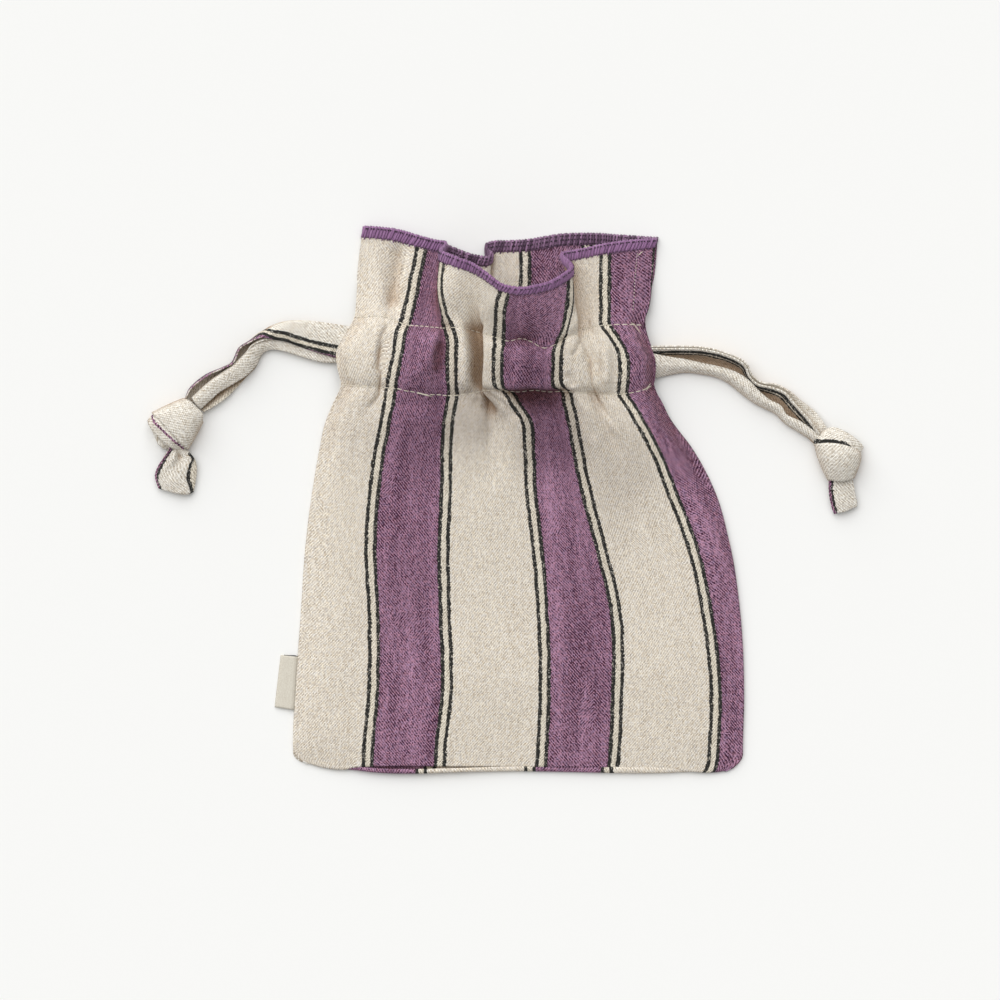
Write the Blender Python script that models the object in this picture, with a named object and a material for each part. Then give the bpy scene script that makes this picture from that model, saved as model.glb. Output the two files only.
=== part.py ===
"""A small gathered drawstring pouch of striped linen, lying flat with its mouth a little open.

Metres, +Z up. The pouch lies on its back panel: +X to the viewer's right, +Y towards the mouth. The origin is on
the surface that it lies on, under the middle of the pouch.

The two panels are lofted through cross sections, each a short row of points chosen by hand: a place on the cloth,
where that place lies in plan, and its height. Plan places are in plan units from the plan's top left corner.
"""
import math

import bmesh
import bpy
import numpy as np

# Driving sizes of the pouch, in metres
POUCH_WIDTH = 0.1606        # across the bottom seam
NECK_WIDTH = 0.1146         # across the gathered channel
MOUTH_WIDTH = 0.1055        # across the hem
BODY_LENGTH = 0.136         # bottom seam to the lower row of stitching
CASING_HEIGHT = 0.0225      # between the two rows of stitching
FRILL_LENGTH = 0.032        # upper row of stitching to the hem
HEM_HEIGHT = 0.0043         # overcast thread band
HEM_THICKNESS = 0.0011
CORNER_RADIUS = 0.0055      # round bottom corners
CLOTH = 0.0006              # one layer of the linen
STRIP_CLOTH = 0.0004        # one layer of the thinner casing strip
STRIP_MARGIN = 0.0012       # how far a casing strip reaches past its stitching
SEAM_TURN = 0.0009          # width of the cloth that turns to the seam at each side
SEAM_HEIGHT = 0.0013        # middle of the side seam, above the ground
NECK_OPENING = 0.0044       # free height inside the gathered neck
CLEARANCE = 0.0003          # between touching pieces

# Drawstrings
CORD_WIDTH = 0.0092         # folded tape, lying free
CORD_THICKNESS = 0.0012
CASED_CORD_WIDTH = 0.0058   # the same tape, squeezed in the channel
CASED_CORD_THICKNESS = 0.0009
LANE_OFFSET = 0.0048        # each cord's lane, from the middle of the channel
KNOT_HEIGHT = 0.0085
TAIL_THICKNESS = 0.0026

# Label
LABEL_THICKNESS = 0.0006

# The plan that the section points are read from
PLAN_UNIT = 0.00036         # metres for one plan unit
PLAN_CENTRE_X = 509.0
PLAN_BOTTOM_Y = 767.0
ORIGIN_UP = 0.0962          # the origin, above the bottom seam
PANEL_UNITS = 446.0         # width of a panel's cloth between its side seams
PLAN_WIDTHS = (0.1606, 0.1146, 0.1055)
PLAN_BODY, PLAN_CASING, PLAN_FRILL = 136.0, 22.5, 32.0
PLAN_CLOTH = 0.0006
PLAN_BED = 0.0103
NECK_FROM = PLAN_BODY
NECK_TO = PLAN_BODY + PLAN_CASING
TOP = PLAN_BODY + PLAN_CASING + PLAN_FRILL
PRINT_SLANT = 17.0 / TOP    # the stripes lean a little against the side seams
MILLI = 0.001

CREST = (440.0, 575.0)      # the neck is level between these plan places

# Where each cord comes out of the channel, in plan units, and where its loop turns at the far side
LEFT_EXIT = (338.4, 341.5)
RIGHT_EXIT = (655.2, 361.5)
FAR_LEFT, FAR_RIGHT = 351.0, 632.0
EXIT_OVER, EXIT_UNDER = 0.0034, 0.0016

# Names for the ends of a section
L = "left seam"
R = "right seam"

# Places of the five pairs of dark lines across each panel's cloth
P1, P2, P3, P4, P5 = 75.5, 148.5, 249.5, 318.5, 419.5
B1, B2, B3, B4, B5 = 51.0, 134.5, 236.0, 310.0, 408.0

# Front panel: height up the cloth in millimetres, then (place on the cloth, plan x, plan y, height in millimetres)
FRONT_SECTIONS = (
    (0.0, ((L, 294, 766, 2.2), (P1, 367.5, 766.5, 2.4), (P2, 440, 766.5, 2.4), (P3, 541, 767, 2.4),
           (P4, 613.5, 767, 2.4), (P5, 712.5, 768, 2.4), (R, 743, 768, 2.2))),
    (8.0, ((L, 293.5, 745, 2.0), (20, 313, 745, 2.6), (P1, 368.5, 745, 3.0), (P2, 441, 745, 3.0),
           (P3, 542.5, 745, 3.0), (P4, 615, 745, 3.0), (P5, 714, 745, 3.0), (R, 742.5, 745, 2.0))),
    (24.6, ((L, 295.5, 699, 2.0), (20, 314, 699, 3.0), (P1, 372.8, 699, 3.8), (P2, 446.5, 699, 4.2),
            (P3, 544.5, 699, 4.4), (P4, 617, 699, 4.2), (P5, 715.5, 699, 3.8), (R, 743.4, 699, 2.0))),
    (57.0, ((L, 301.5, 610, 2.0), (25, 325, 610, 3.4), (P1, 373.6, 610, 4.8), (P2, 444.8, 610, 5.4),
            (P3, 542.5, 610, 5.6), (P4, 615.3, 610, 5.6), (P5, 706.3, 610, 5.0), (R, 739.5, 610, 2.0))),
    (80.0, ((L, 306, 546, 2.0), (25, 327, 546, 4.0), (50, 349, 546, 5.4), (P1, 370.5, 546, 6.0),
            (112, 408, 546, 6.8), (P2, 443.6, 546, 6.8), (200, 492, 546, 7.2), (P3, 537.3, 546, 7.2),
            (284, 570, 546, 7.2), (P4, 600.5, 546, 7.0), (365, 643, 546, 7.0), (P5, 692, 546, 6.4),
            (440, 717, 546, 4.6), (R, 729.5, 546, 2.0))),
    (100.0, ((L, 313, 491, 2.0), (25, 330, 491, 4.8), (50, 352, 491, 6.6), (P1, 374.5, 491, 7.2),
             (112, 411, 491, 8.4), (P2, 446, 491, 8.2), (200, 490, 491, 8.8), (P3, 531, 491, 9.0),
             (284, 560, 491, 9.0), (P4, 586, 491, 8.8), (350, 610, 491, 9.0), (372, 628, 491, 8.2),
             (395, 650, 491, 9.0), (P5, 671, 491, 8.2), (440, 695, 491, 5.8), (R, 714, 491, 2.0))),
    (115.0, ((L, 320, 450, 2.2), (25, 335, 450, 5.4), (50, 357, 450, 7.6), (P1, 380, 450, 8.2),
             (112, 414, 450, 9.6), (P2, 446.6, 450, 9.4), (175, 471, 450, 10.0), (200, 492, 450, 9.4),
             (215, 503, 450, 9.4), (232, 516, 450, 10.4), (P3, 529, 450, 10.6), (284, 556, 450, 10.4),
             (P4, 577.7, 450, 10.4), (340, 597, 450, 11.0), (362, 616, 450, 9.8), (385, 632, 450, 10.8),
             (P5, 654.6, 450, 10.0), (440, 675, 450, 7.4), (R, 692, 450, 2.2))),
    (126.0, ((L, 327.5, 419, 2.6), (30, 344, 419, 6.6), (48, 361, 419, 8.6), (60, 372, 419, 8.6),
             (P1, 386, 419, 8.8), (95, 404, 420, 10.0), (115, 423, 421, 10.8), (132, 438, 421, 10.0),
             (P2, 448.5, 421, 10.2), (165, 464, 420, 11.0), (180, 478, 419, 11.0), (198, 492, 418.5, 9.6),
             (215, 503, 418, 10.6), (228, 510, 418, 12.2), (P3, 526, 418.5, 11.8), (265, 538, 419, 11.6),
             (284, 551, 419, 11.8), (300, 562, 419, 11.4), (P4, 572.5, 419, 11.6), (333, 584, 420, 12.6),
             (350, 596, 420, 11.0), (362, 604, 420, 9.8), (374, 611, 420, 10.4), (390, 622, 420, 12.0),
             (405, 630, 420, 12.0), (P5, 638, 420, 11.2), (440, 655, 419.5, 8.4), (R, 668.5, 418, 2.6))),
    (131.0, ((L, 334.5, 402, 3.2), (30, 350, 403, 7.2), (48, 366, 403, 8.5), (57, 374.5, 403, 8.2),
             (66, 382, 404, 8.2), (P1, 389, 404, 8.8), (95, 406.5, 406, 10.2), (115, 424.5, 407.5, 10.9),
             (132, 439.5, 408, 9.9), (P2, 450.5, 408, 10.2), (163, 465, 407, 10.9), (178, 478, 405.5, 10.4),
             (190, 488, 404.5, 9.2), (199, 493.5, 404, 9.4), (207, 495, 404, 10.6), (214, 494, 404, 11.6),
             (224, 497, 404, 12.8), (P3, 515.5, 404.5, 11.7), (265, 528, 405, 11.3), (284, 543, 404.5, 11.3),
             (300, 555.5, 405, 11.2), (P4, 569, 405.5, 11.4), (332, 580, 406, 12.3), (348, 590.5, 406.5, 11.0),
             (361, 598, 407, 9.7), (371, 604, 407, 10.0), (385, 613, 407, 11.6), (401, 622, 407, 11.9),
             (P5, 630.5, 407, 11.1), (440, 648, 405.5, 8.9), (R, 661, 402, 3.2))),
    (136.0, ((L, 341.5, 384, 4.2), (30, 357, 386, 7.6), (48, 371, 387, 8.2), (56, 377.5, 387, 7.6),
             (66, 384, 387.5, 8.2), (P1, 391.5, 388, 8.8), (95, 409, 391, 10.2), (115, 426, 394, 10.8),
             (132, 441, 395, 9.6), (P2, 453, 395.5, 10.0), (162, 466, 394, 10.6), (175, 478, 392, 9.8),
             (188, 487, 391, 9.6), (195, 492, 391, 9.7), (200, 493.5, 391, 10.8), (208, 488.5, 390.5, 12.1),
             (214, 483, 390, 13.0), (222, 485.5, 390, 14.0), (P3, 506, 391, 11.4), (265, 518, 391.5, 10.8),
             (284, 535, 389.5, 10.6), (300, 548, 391, 10.8), (P4, 566, 391, 11.2), (330, 575, 392, 12.0),
             (345, 584, 393, 11.0), (358, 591, 393.5, 9.6), (366, 595, 394, 9.4), (378, 601, 394, 10.2),
             (395, 611, 394, 11.4), (P5, 622.5, 394, 11.0), (440, 640, 391, 9.5), (R, 653, 385, 4.2))),
    (139.5, ((L, 339.5, 375, 5.0), (30, 354, 377, 8.4), (48, 369, 378, 9.2), (56, 377, 378, 8.4),
             (66, 384, 379, 9.2), (P1, 393, 379, 9.8), (95, 410, 382, 11.8), (115, 427, 385, 12.4),
             (131, 440, 386, 10.6), (P2, 452.5, 386, 11.2), (163, 464.5, 385, 12.4), (176, 477.5, 384, 11.2),
             (187, 486, 383, 10.6), (198, 497, 383, 10.4), (203, 500, 383, 11.6), (210, 494, 384, 13.0),
             (219, 483.5, 385, 14.1), (225, 484, 385.5, 15.3), (236, 491, 386.5, 15.7), (P3, 500, 388, 14.6),
             (265, 512, 388.5, 14.8), (284, 530, 387.5, 14.4), (300, 545, 389, 13.4), (P4, 558.5, 386, 13.2),
             (330, 568, 386, 14.2), (344, 579, 386, 13.4), (358, 589, 386, 10.8), (365, 592.5, 386, 10.4),
             (373, 597, 386, 11.2), (388, 606, 386, 13.0), (403, 614, 386, 12.8), (P5, 623, 386, 12.0),
             (440, 641, 384, 10.0), (R, 654, 380, 5.0))),
    (147.0, ((L, 336.5, 352, 5.4), (25, 348, 352, 8.4), (45, 364, 353, 9.8), (58, 375.5, 353, 9.8),
             (63, 380, 353, 8.8), (69, 388, 354, 9.8), (P1, 398, 354, 10.4), (100, 415, 357, 13.4),
             (118, 430, 360, 14.2), (131, 440, 361, 10.8), (P2, 452, 361, 11.6), (163, 463.5, 360, 13.2),
             (176, 477, 359, 11.8), (186, 485, 358, 10.8), (199, 498, 358, 10.7), (204, 501, 358.5, 12.0),
             (211, 495, 359, 13.1), (221, 484.5, 360, 14.2), (226, 484.5, 360.5, 15.6), (236, 491, 362, 16.2),
             (P3, 497.5, 363, 15.2), (265, 510, 364, 15.8), (284, 528, 364, 15.4), (300, 543, 366, 13.8),
             (P4, 557, 364, 13.6), (330, 566, 361, 15.0), (343, 577, 359, 14.4), (358, 588, 358, 11.2),
             (364, 591.5, 358, 10.8), (372, 596, 358, 12.0), (388, 605, 358, 14.4), (403, 613, 358, 13.6),
             (P5, 623.5, 358, 12.4), (440, 642, 359, 11.0), (R, 654.5, 362, 5.4))),
    (155.0, ((L, 348.5, 328, 5.0), (30, 366, 327, 8.4), (45, 377, 327, 9.2), (57, 386.5, 328, 8.6),
             (66, 394, 330, 9.4), (P1, 401.5, 332, 10.0), (102, 421, 335, 12.8), (120, 433.5, 337, 13.0),
             (131, 441, 338, 10.8), (P2, 452, 338, 12.0), (161, 461, 338, 13.4), (174, 471, 339, 12.6),
             (186, 480.5, 340, 11.0), (197, 492, 341, 10.8), (202, 494.5, 341, 12.1), (209, 489, 342, 13.1),
             (218, 484, 343, 14.4), (225, 485, 343.5, 15.8), (236, 491.5, 345, 16.2), (P3, 498.5, 347, 15.4),
             (264, 509.5, 348.5, 15.4), (280, 524, 347.5, 14.8), (298, 541, 352, 13.8), (P4, 558, 350, 14.2),
             (330, 567.5, 346, 15.6), (342, 577.5, 343, 14.8), (354, 581, 341.5, 12.0), (363, 584.5, 340, 10.8),
             (373, 591.5, 339, 11.2), (388, 601, 337.5, 13.0), (402, 606, 337, 13.0), (P5, 613, 337, 12.2),
             (440, 632, 338, 10.8), (R, 648.5, 342, 5.0))),
    (158.5, ((L, 354.5, 318, 4.6), (40, 378, 317, 7.6), (57, 390, 319, 7.0), (P1, 404.5, 325, 8.4),
             (105, 424, 327, 10.6), (130, 440.5, 328.5, 9.8), (P2, 449, 328, 12.0), (160, 458, 328, 13.2),
             (172, 468, 330, 12.8), (184, 477, 332, 10.8), (195, 488, 333, 10.2), (200, 491, 333, 11.4),
             (208, 486, 334, 12.6), (215, 483.5, 334, 14.0), (224, 486, 335, 15.2), (236, 492, 337, 15.2),
             (P3, 499, 339, 14.4), (262, 509, 341.5, 13.8), (275, 520, 339, 13.0), (290, 531, 342, 12.6),
             (305, 545, 348.5, 12.8), (P4, 560, 342, 14.0), (330, 569, 337, 15.0), (342, 577, 334, 14.0),
             (352, 576, 333, 11.4), (362, 578, 331, 9.8), (374, 588, 329, 9.6), (388, 595, 327, 10.6),
             (400, 598, 326.5, 11.4), (P5, 605.5, 326, 10.6), (440, 625, 325, 9.0), (R, 644, 325, 4.6))),
    (163.0, ((L, 356, 306, 3.6), (40, 380, 306, 6.0), (57, 391.5, 308, 5.4), (P1, 405.5, 313, 7.0),
             (100, 423, 315, 9.2), (118, 434.5, 316, 9.2), (130, 439, 317, 9.6), (P2, 445.5, 318, 13.0),
             (160, 455, 319, 14.6), (172, 466, 321, 14.6), (184, 475, 322, 12.2), (194, 482, 323, 11.8),
             (203, 483, 324, 13.6), (215, 485, 325, 15.6), (232, 493, 328, 16.8), (P3, 499.5, 330, 16.6),
             (265, 511, 333, 16.2), (284, 530, 334, 15.6), (300, 547, 336, 15.8), (P4, 563.5, 333, 16.6),
             (330, 571, 328, 16.8), (342, 577, 324, 15.2), (352, 577, 322, 12.0), (362, 578.5, 320, 9.4),
             (376, 586, 317, 8.0), (392, 595, 315, 8.6), (P5, 605, 314, 8.2), (440, 627, 313, 6.8),
             (R, 649, 308, 3.6))),
    (174.5, ((L, 358.5, 270, 2.0), (40, 379, 272, 3.8), (57, 392, 275, 3.0), (P1, 411.5, 279, 4.0),
             (95, 428, 282, 4.8), (108, 437, 284, 5.2), (120, 440, 286, 7.0), (133, 438.5, 289, 10.2),
             (P2, 439.5, 292, 14.4), (162, 450, 294, 17.8), (178, 464, 297, 18.6), (192, 476, 299, 17.4),
             (205, 484, 302, 18.4), (222, 491, 306, 21.0), (P3, 500.5, 310.5, 22.2), (265, 513, 314, 22.8),
             (284, 532, 315, 22.6), (300, 550, 313, 21.8), (P4, 570, 305.5, 20.0), (330, 574, 301, 17.0),
             (342, 573, 297, 13.4), (354, 570, 293, 10.0), (366, 572, 290, 7.0), (380, 582, 287, 5.2),
             (400, 594, 284, 4.8), (P5, 605, 283, 4.4), (440, 628, 281, 3.8), (R, 653, 274, 2.0))),
    (190.5, ((L, 363.5, 226, 2.0), (40, 380, 227, 3.2), (55, 397, 229, 2.8), (P1, 420, 236, 3.2),
             (92, 436, 240, 3.6), (104, 446, 241.5, 4.8), (114, 445.5, 244, 7.6), (128, 441.5, 248, 11.6),
             (P2, 443, 252, 15.8), (160, 450, 255, 18.4), (175, 461, 259.5, 20.0), (190, 473, 264, 20.8),
             (205, 484.5, 272, 23.0), (222, 495, 280.5, 25.0), (P3, 506.5, 286.5, 26.8), (265, 520, 288.5, 27.6),
             (284, 536, 286.2, 27.6), (300, 551.5, 281.5, 26.0), (P4, 571, 267.5, 21.4),
             (328, 570.5, 263.5, 17.4), (340, 567.5, 260, 13.2), (352, 562.5, 255.5, 9.2), (360, 561, 253, 6.4), (375, 572, 250.5, 4.4),
             (395, 588, 247.5, 3.8), (P5, 605, 243.5, 3.4), (440, 630, 240, 3.0), (R, 656.5, 238.5, 2.0))),
)

# Back panel, seen through the pouch from the front; its first rows roll up round the bottom edge
BACK_SECTIONS = (
    (-4.0, ((L, 300, 767.8, 2.35), (B3, 530, 767.9, 2.4), (R, 737, 768.9, 2.35))),
    (-2.9, ((L, 299, 770.2, 2.3), (B3, 530, 770.3, 2.35), (R, 738, 771.2, 2.3))),
    (-2.0, ((L, 298, 771.8, 1.8), (B3, 530, 771.9, 1.8), (R, 739, 772.6, 1.8))),
    (-1.2, ((L, 297, 772.0, 1.0), (B3, 530, 772.1, 1.0), (R, 740, 772.8, 1.0))),
    (-0.4, ((L, 296, 770.7, 0.48), (B3, 530, 770.8, 0.48), (R, 741, 771.4, 0.48))),
    (0.8, ((L, 294, 767.8, 0.33), (B1, 345, 767.9, 0.33), (B3, 530, 768, 0.33), (B5, 702, 768.3, 0.33),
           (R, 743, 768.4, 0.33))),
    (2.4, ((L, 293.6, 763, 0.3), (B1, 345, 763, 0.3), (B3, 530, 763, 0.3), (B5, 702, 763, 0.3),
           (R, 742.8, 763, 0.3))),
    (8.0, ((L, 293.5, 745, 0.3), (B1, 345, 745, 0.3), (B3, 530, 745, 0.3), (B5, 702, 745, 0.3),
           (R, 742.5, 745, 0.3))),
    (57.0, ((L, 301.5, 610, 0.3), (B1, 346, 610, 0.3), (B2, 430, 610, 0.3), (B3, 531, 610, 0.3),
            (B4, 604, 610, 0.3), (B5, 699, 610, 0.3), (R, 739.5, 610, 0.3))),
    (80.0, ((L, 306, 546, 0.3), (B1, 347, 546, 0.3), (B2, 431, 546, 0.3), (B3, 530, 546, 0.3),
            (B4, 600, 546, 0.3), (B5, 689, 546, 0.3), (R, 729.5, 546, 0.3))),
    (100.0, ((L, 313, 491, 0.3), (B1, 352, 491, 0.3), (B2, 433, 491, 0.3), (B3, 526, 491, 0.3),
             (B4, 592, 491, 0.3), (B5, 675, 491, 0.3), (R, 714, 491, 0.3))),
    (115.0, ((L, 320, 450, 0.3), (B1, 360, 450, 0.3), (B2, 433, 450, 0.3), (B3, 522, 450, 0.3),
             (B4, 586, 450, 0.3), (B5, 660, 450, 0.3), (R, 692, 450, 0.3))),
    (126.0, ((L, 327.5, 419, 0.3), (B1, 366, 419, 0.3), (B2, 437, 420, 0.3), (B3, 519, 420, 0.3),
             (B4, 579, 420, 0.3), (B5, 642, 419, 0.3), (R, 668.5, 418, 0.3))),
    (136.0, ((L, 341.5, 384, 0.3), (B1, 375, 387, 0.3), (B2, 440, 391, 0.3), (B3, 515, 392, 0.3),
             (B4, 572, 392, 0.3), (B5, 628, 391, 0.3), (R, 653, 385, 0.3))),
    (147.0, ((L, 336.5, 352, 0.3), (B1, 372, 353, 0.3), (B2, 440, 356, 0.3), (B3, 515, 357, 0.3),
             (B4, 570, 357, 0.3), (B5, 630, 358, 0.3), (R, 654.5, 362, 0.3))),
    (158.5, ((L, 354.5, 318, 0.3), (B1, 390, 322, 0.3), (B2, 445, 325, 0.3), (B3, 520, 328, 0.3),
             (B4, 575, 328, 0.3), (B5, 625, 326, 0.3), (R, 644, 325, 0.3))),
    (174.5, ((L, 358.5, 270, 0.4), (70, 396, 275, 0.4), (115, 444, 284, 0.8), (146, 470, 291, 1.8),
             (163, 484, 293, 2.6), (172, 487.5, 290, 2.3), (181, 486.5, 287, 1.5), (192, 489, 285, 0.9),
             (214, 505, 284, 0.6), (B3, 525, 283.5, 0.6), (274, 560, 280, 0.6), (B4, 588, 278, 0.6),
             (370, 613, 278, 0.6), (B5, 632, 277, 0.5), (R, 653, 274, 0.4))),
    (190.5, ((L, 363.5, 227.5, 0.7), (70, 400, 232, 0.7), (115, 447, 245, 1.2), (146, 475, 255, 3.2),
             (163, 489.5, 256, 4.6), (170, 492, 252.5, 4.2), (179, 487, 247.5, 2.8), (188, 487, 243, 1.6),
             (196, 492.5, 241, 0.9), (214, 507, 240.5, 0.7), (B3, 525, 239.5, 0.7), (274, 559, 234, 0.7),
             (B4, 586, 233, 0.7), (370, 615, 234.5, 0.7), (B5, 635, 236, 0.7), (R, 656, 237.5, 0.7))),
)

# Folds that the gathering presses into the back panel: middle of each on the cloth, and half its width there
BACK_FOLDS = ((38, 15), (92, 18), (150, 16), (205, 18), (262, 16), (330, 20), (392, 17))
BACK_FOLD_RISE = 0.0012
BACK_FOLD_GROWTH = ((90.0, 0.0), (126.0, 0.9), (136.0, 1.0), (147.0, 0.8), (158.5, 1.0), (168.0, 0.6), (190.5, 0.2))

# Rows and columns of the panels' solids
FRONT_COLUMNS = (0, 25, 45, 57, 64, P1, 88, 103, 118, 131, P2, 162, 176, 187, 199, 204, 211, 220, 226, 236, P3,
                 265, 284, 300, P4, 330, 343, 355, 364, 373, 388, 403, P5, 440)
FRONT_ROWS = (0.0, 8.0, 24.6, 42.0, 57.0, 70.0, 80.0, 90.0, 100.0, 108.0, 115.0, 121.0, 126.0, 131.0, 136.0,
              139.5, 143.0, 147.0, 151.0, 155.0, 158.5, 163.0, 168.5, 174.5, 180.5)
BACK_COLUMNS = (0, 38, 55, 75, 92, 112, B2, 150, 163, 171, 180, 190, 205, 220, B3, 262, 282, B4, 330, 350, 372, 392,
                B5, 430)
BACK_ROWS = (-4.0, -2.9, -2.0, -1.2, -0.4, 0.8, 8.0, 32.0, 57.0, 80.0, 95.0, 108.0, 118.0, 126.0, 132.0, 136.0,
             141.0, 147.0, 153.0, 158.5, 165.0, 174.5, 181.0)

# Drawstring routes in plan units, with the height of the tape's middle in millimetres
LEFT_UNDER_ROUTE = ((336.2, 341.8, 1.6), (331.5, 341.8, 1.5), (326, 340, 1.2), (318, 338, 0.9), (308, 337, 0.75), (299, 337.5, 0.7),
                    (290, 338, 0.7), (281, 339.5, 0.7), (272, 342, 0.7), (264, 345.5, 0.7), (257, 351, 0.7),
                    (250, 357.5, 0.7), (243, 364.5, 0.7), (236, 371.5, 0.7), (229, 378, 0.7), (222, 384, 0.7),
                    (215, 389.5, 0.7), (208, 395, 0.7), (201, 400.5, 0.7), (197.4, 403.2, 0.7))
LEFT_OVER_ROUTE = ((336.2, 341.5, 3.4), (331.5, 341.3, 3.3), (326, 339, 3.0), (318, 337, 2.6), (308, 336, 2.35), (299, 336.5, 2.25),
                   (290, 337.5, 2.25), (281, 339.5, 2.25), (272, 342, 2.25), (264, 346, 2.25), (257, 351.5, 2.25),
                   (250, 358, 2.25), (243, 365, 2.25), (236, 372, 2.25), (229, 378.5, 2.25), (222, 384.5, 2.25),
                   (215, 390, 2.25), (208, 395.5, 2.3), (201, 401, 2.4), (198, 403.3, 2.5))
RIGHT_UNDER_ROUTE = ((657.6, 361.5, 1.6), (662, 361.4, 1.5), (666, 360, 1.2), (675, 359.5, 0.9), (684, 359.5, 0.75), (693, 360, 0.7),
                     (702, 361, 0.7), (711, 363, 0.7), (720, 366, 0.7), (729, 370, 0.7), (738, 375, 0.7),
                     (747, 380, 0.7), (756, 385, 0.7), (765, 389.5, 0.7), (774, 394.5, 0.7), (783, 401, 0.7),
                     (792, 408.5, 0.7), (801, 416.5, 0.7), (810, 425, 0.7), (816, 430.5, 0.7), (817.6, 431.9, 0.7))
RIGHT_OVER_ROUTE = ((658.4, 361.5, 3.4), (662.5, 361.6, 3.3), (666, 361.5, 3.0), (675, 360.5, 2.6), (684, 360.5, 2.35), (693, 361, 2.25),
                    (702, 362, 2.25), (711, 364, 2.25), (720, 367, 2.25), (729, 371, 2.25), (738, 376, 2.25),
                    (747, 381, 2.25), (756, 386, 2.25), (765, 390.5, 2.25), (774, 395.5, 2.25), (783, 402, 2.25),
                    (792, 409.5, 2.25), (801, 417.5, 2.3), (810, 426, 2.4), (816, 431.5, 2.5), (817.2, 432.6, 2.5))

# Size and height shares of the rings that round a knot and a tail
KNOT_RINGS = ((0.88, 0.0), (0.985, 0.1), (1.0, 0.3), (0.97, 0.58), (0.85, 0.82), (0.52, 0.97))
TAIL_RINGS = ((0.95, 0.0), (1.0, 0.35), (1.0, 0.65), (0.93, 1.0))

# Outlines in plan units
LEFT_KNOT = ((184, 397), (202, 412), (203, 428), (190, 450), (162, 450.5), (148, 421), (152, 411), (168, 403))
LEFT_TAIL = ((167, 455.8), (186, 455.6), (197, 470), (193, 491), (184, 494), (159, 491), (154, 477))
RIGHT_KNOT = ((814, 442), (831, 426), (853, 438), (863, 453), (855, 479), (828, 480), (820, 460))
RIGHT_TAIL = ((830, 486.6), (852, 486.6), (857, 504), (854, 515), (834, 515), (829, 497))
LABEL = ((281, 655), (296.9, 656.6), (293.4, 710), (275, 707))

NATURAL = (0.70, 0.62, 0.53)
PURPLE = (0.21, 0.10, 0.20)
THREAD = (0.19, 0.09, 0.24)
CREAM = (0.68, 0.64, 0.55)


def cubic_through(knots, values, places):
    """Values at the places on a cubic through the given values, whose slopes come from each knot's neighbours."""
    knots = np.asarray(knots, float)
    values = np.asarray(values, float)
    places = np.clip(places, knots[0], knots[-1])
    shape = (-1,) + (1,) * (values.ndim - 1)
    steps = np.diff(knots)
    slopes = np.diff(values, axis=0) / steps.reshape(shape)
    before = steps[:-1].reshape(shape)
    after = steps[1:].reshape(shape)
    tangents = np.empty_like(values)
    tangents[0] = slopes[0]
    tangents[-1] = slopes[-1]
    tangents[1:-1] = (slopes[:-1] * after + slopes[1:] * before) / (before + after)
    index = np.clip(np.searchsorted(knots, places, side="right") - 1, 0, len(steps) - 1)
    width = steps[index].reshape(shape)
    s = ((places - knots[index]) / steps[index]).reshape(shape)
    rise = (2 * s**3 - 3 * s**2 + 1) * values[index] + (3 * s**2 - 2 * s**3) * values[index + 1]
    bend = (s**3 - 2 * s**2 + s) * tangents[index] + (s**3 - s**2) * tangents[index + 1]
    return rise + width * bend


def casing_levels():
    """Heights of the middles of the layers inside the gathered neck, from the back panel up."""
    back_cord = CLOTH + BACK_FOLD_RISE + CLEARANCE + CASED_CORD_THICKNESS / 2
    back_strip = back_cord + CASED_CORD_THICKNESS / 2 + CLEARANCE + STRIP_CLOTH / 2
    front_strip = back_strip + STRIP_CLOTH + NECK_OPENING
    front_cord = front_strip + STRIP_CLOTH / 2 + CLEARANCE + CASED_CORD_THICKNESS / 2
    front_cloth = front_cord + CASED_CORD_THICKNESS / 2 + CLEARANCE + CLOTH / 2
    return {"back_cord": back_cord, "back_strip": back_strip, "front_strip": front_strip,
            "front_cord": front_cord, "front_cloth": front_cloth}


def width_share(height):
    """How much wider the pouch is than the plan at a height up the cloth: 1 at the plan's own sizes."""
    shares = [size / plan for size, plan in zip((POUCH_WIDTH, NECK_WIDTH, MOUTH_WIDTH), PLAN_WIDTHS)]
    return np.interp(height, (30.0, NECK_FROM, NECK_TO, TOP), (shares[0], shares[1], shares[1], shares[2]))


def lengthening(height):
    """How much further up a row of the cloth lies than on the plan: 0 at the plan's own sizes."""
    growths = (BODY_LENGTH - PLAN_BODY * MILLI, CASING_HEIGHT - PLAN_CASING * MILLI,
               FRILL_LENGTH - PLAN_FRILL * MILLI)
    starts = (0.0, NECK_FROM, NECK_TO)
    spans = (PLAN_BODY, PLAN_CASING, PLAN_FRILL)
    return sum(growth * np.clip((height - start) / span, 0.0, 1.0)
               for growth, start, span in zip(growths, starts, spans))


def to_world(plan, heights):
    """World points of plan points (x, y in plan units, z in millimetres) at their heights up the cloth."""
    world = np.empty_like(plan)
    world[..., 0] = (plan[..., 0] - PLAN_CENTRE_X) * PLAN_UNIT * width_share(heights)
    world[..., 1] = (PLAN_BOTTOM_Y - plan[..., 1]) * PLAN_UNIT + lengthening(heights) - ORIGIN_UP
    world[..., 2] = plan[..., 2] * MILLI * CLOTH / PLAN_CLOTH
    return world


def corner_inset(height):
    """How far in from a side seam, in cloth units, the round bottom corner puts the edge at a height."""
    radius = CORNER_RADIUS / PLAN_UNIT
    rise = np.clip(height / (PLAN_UNIT / MILLI), 0.0, radius)
    return radius - math.sqrt(radius**2 - (radius - rise)**2)


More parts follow.
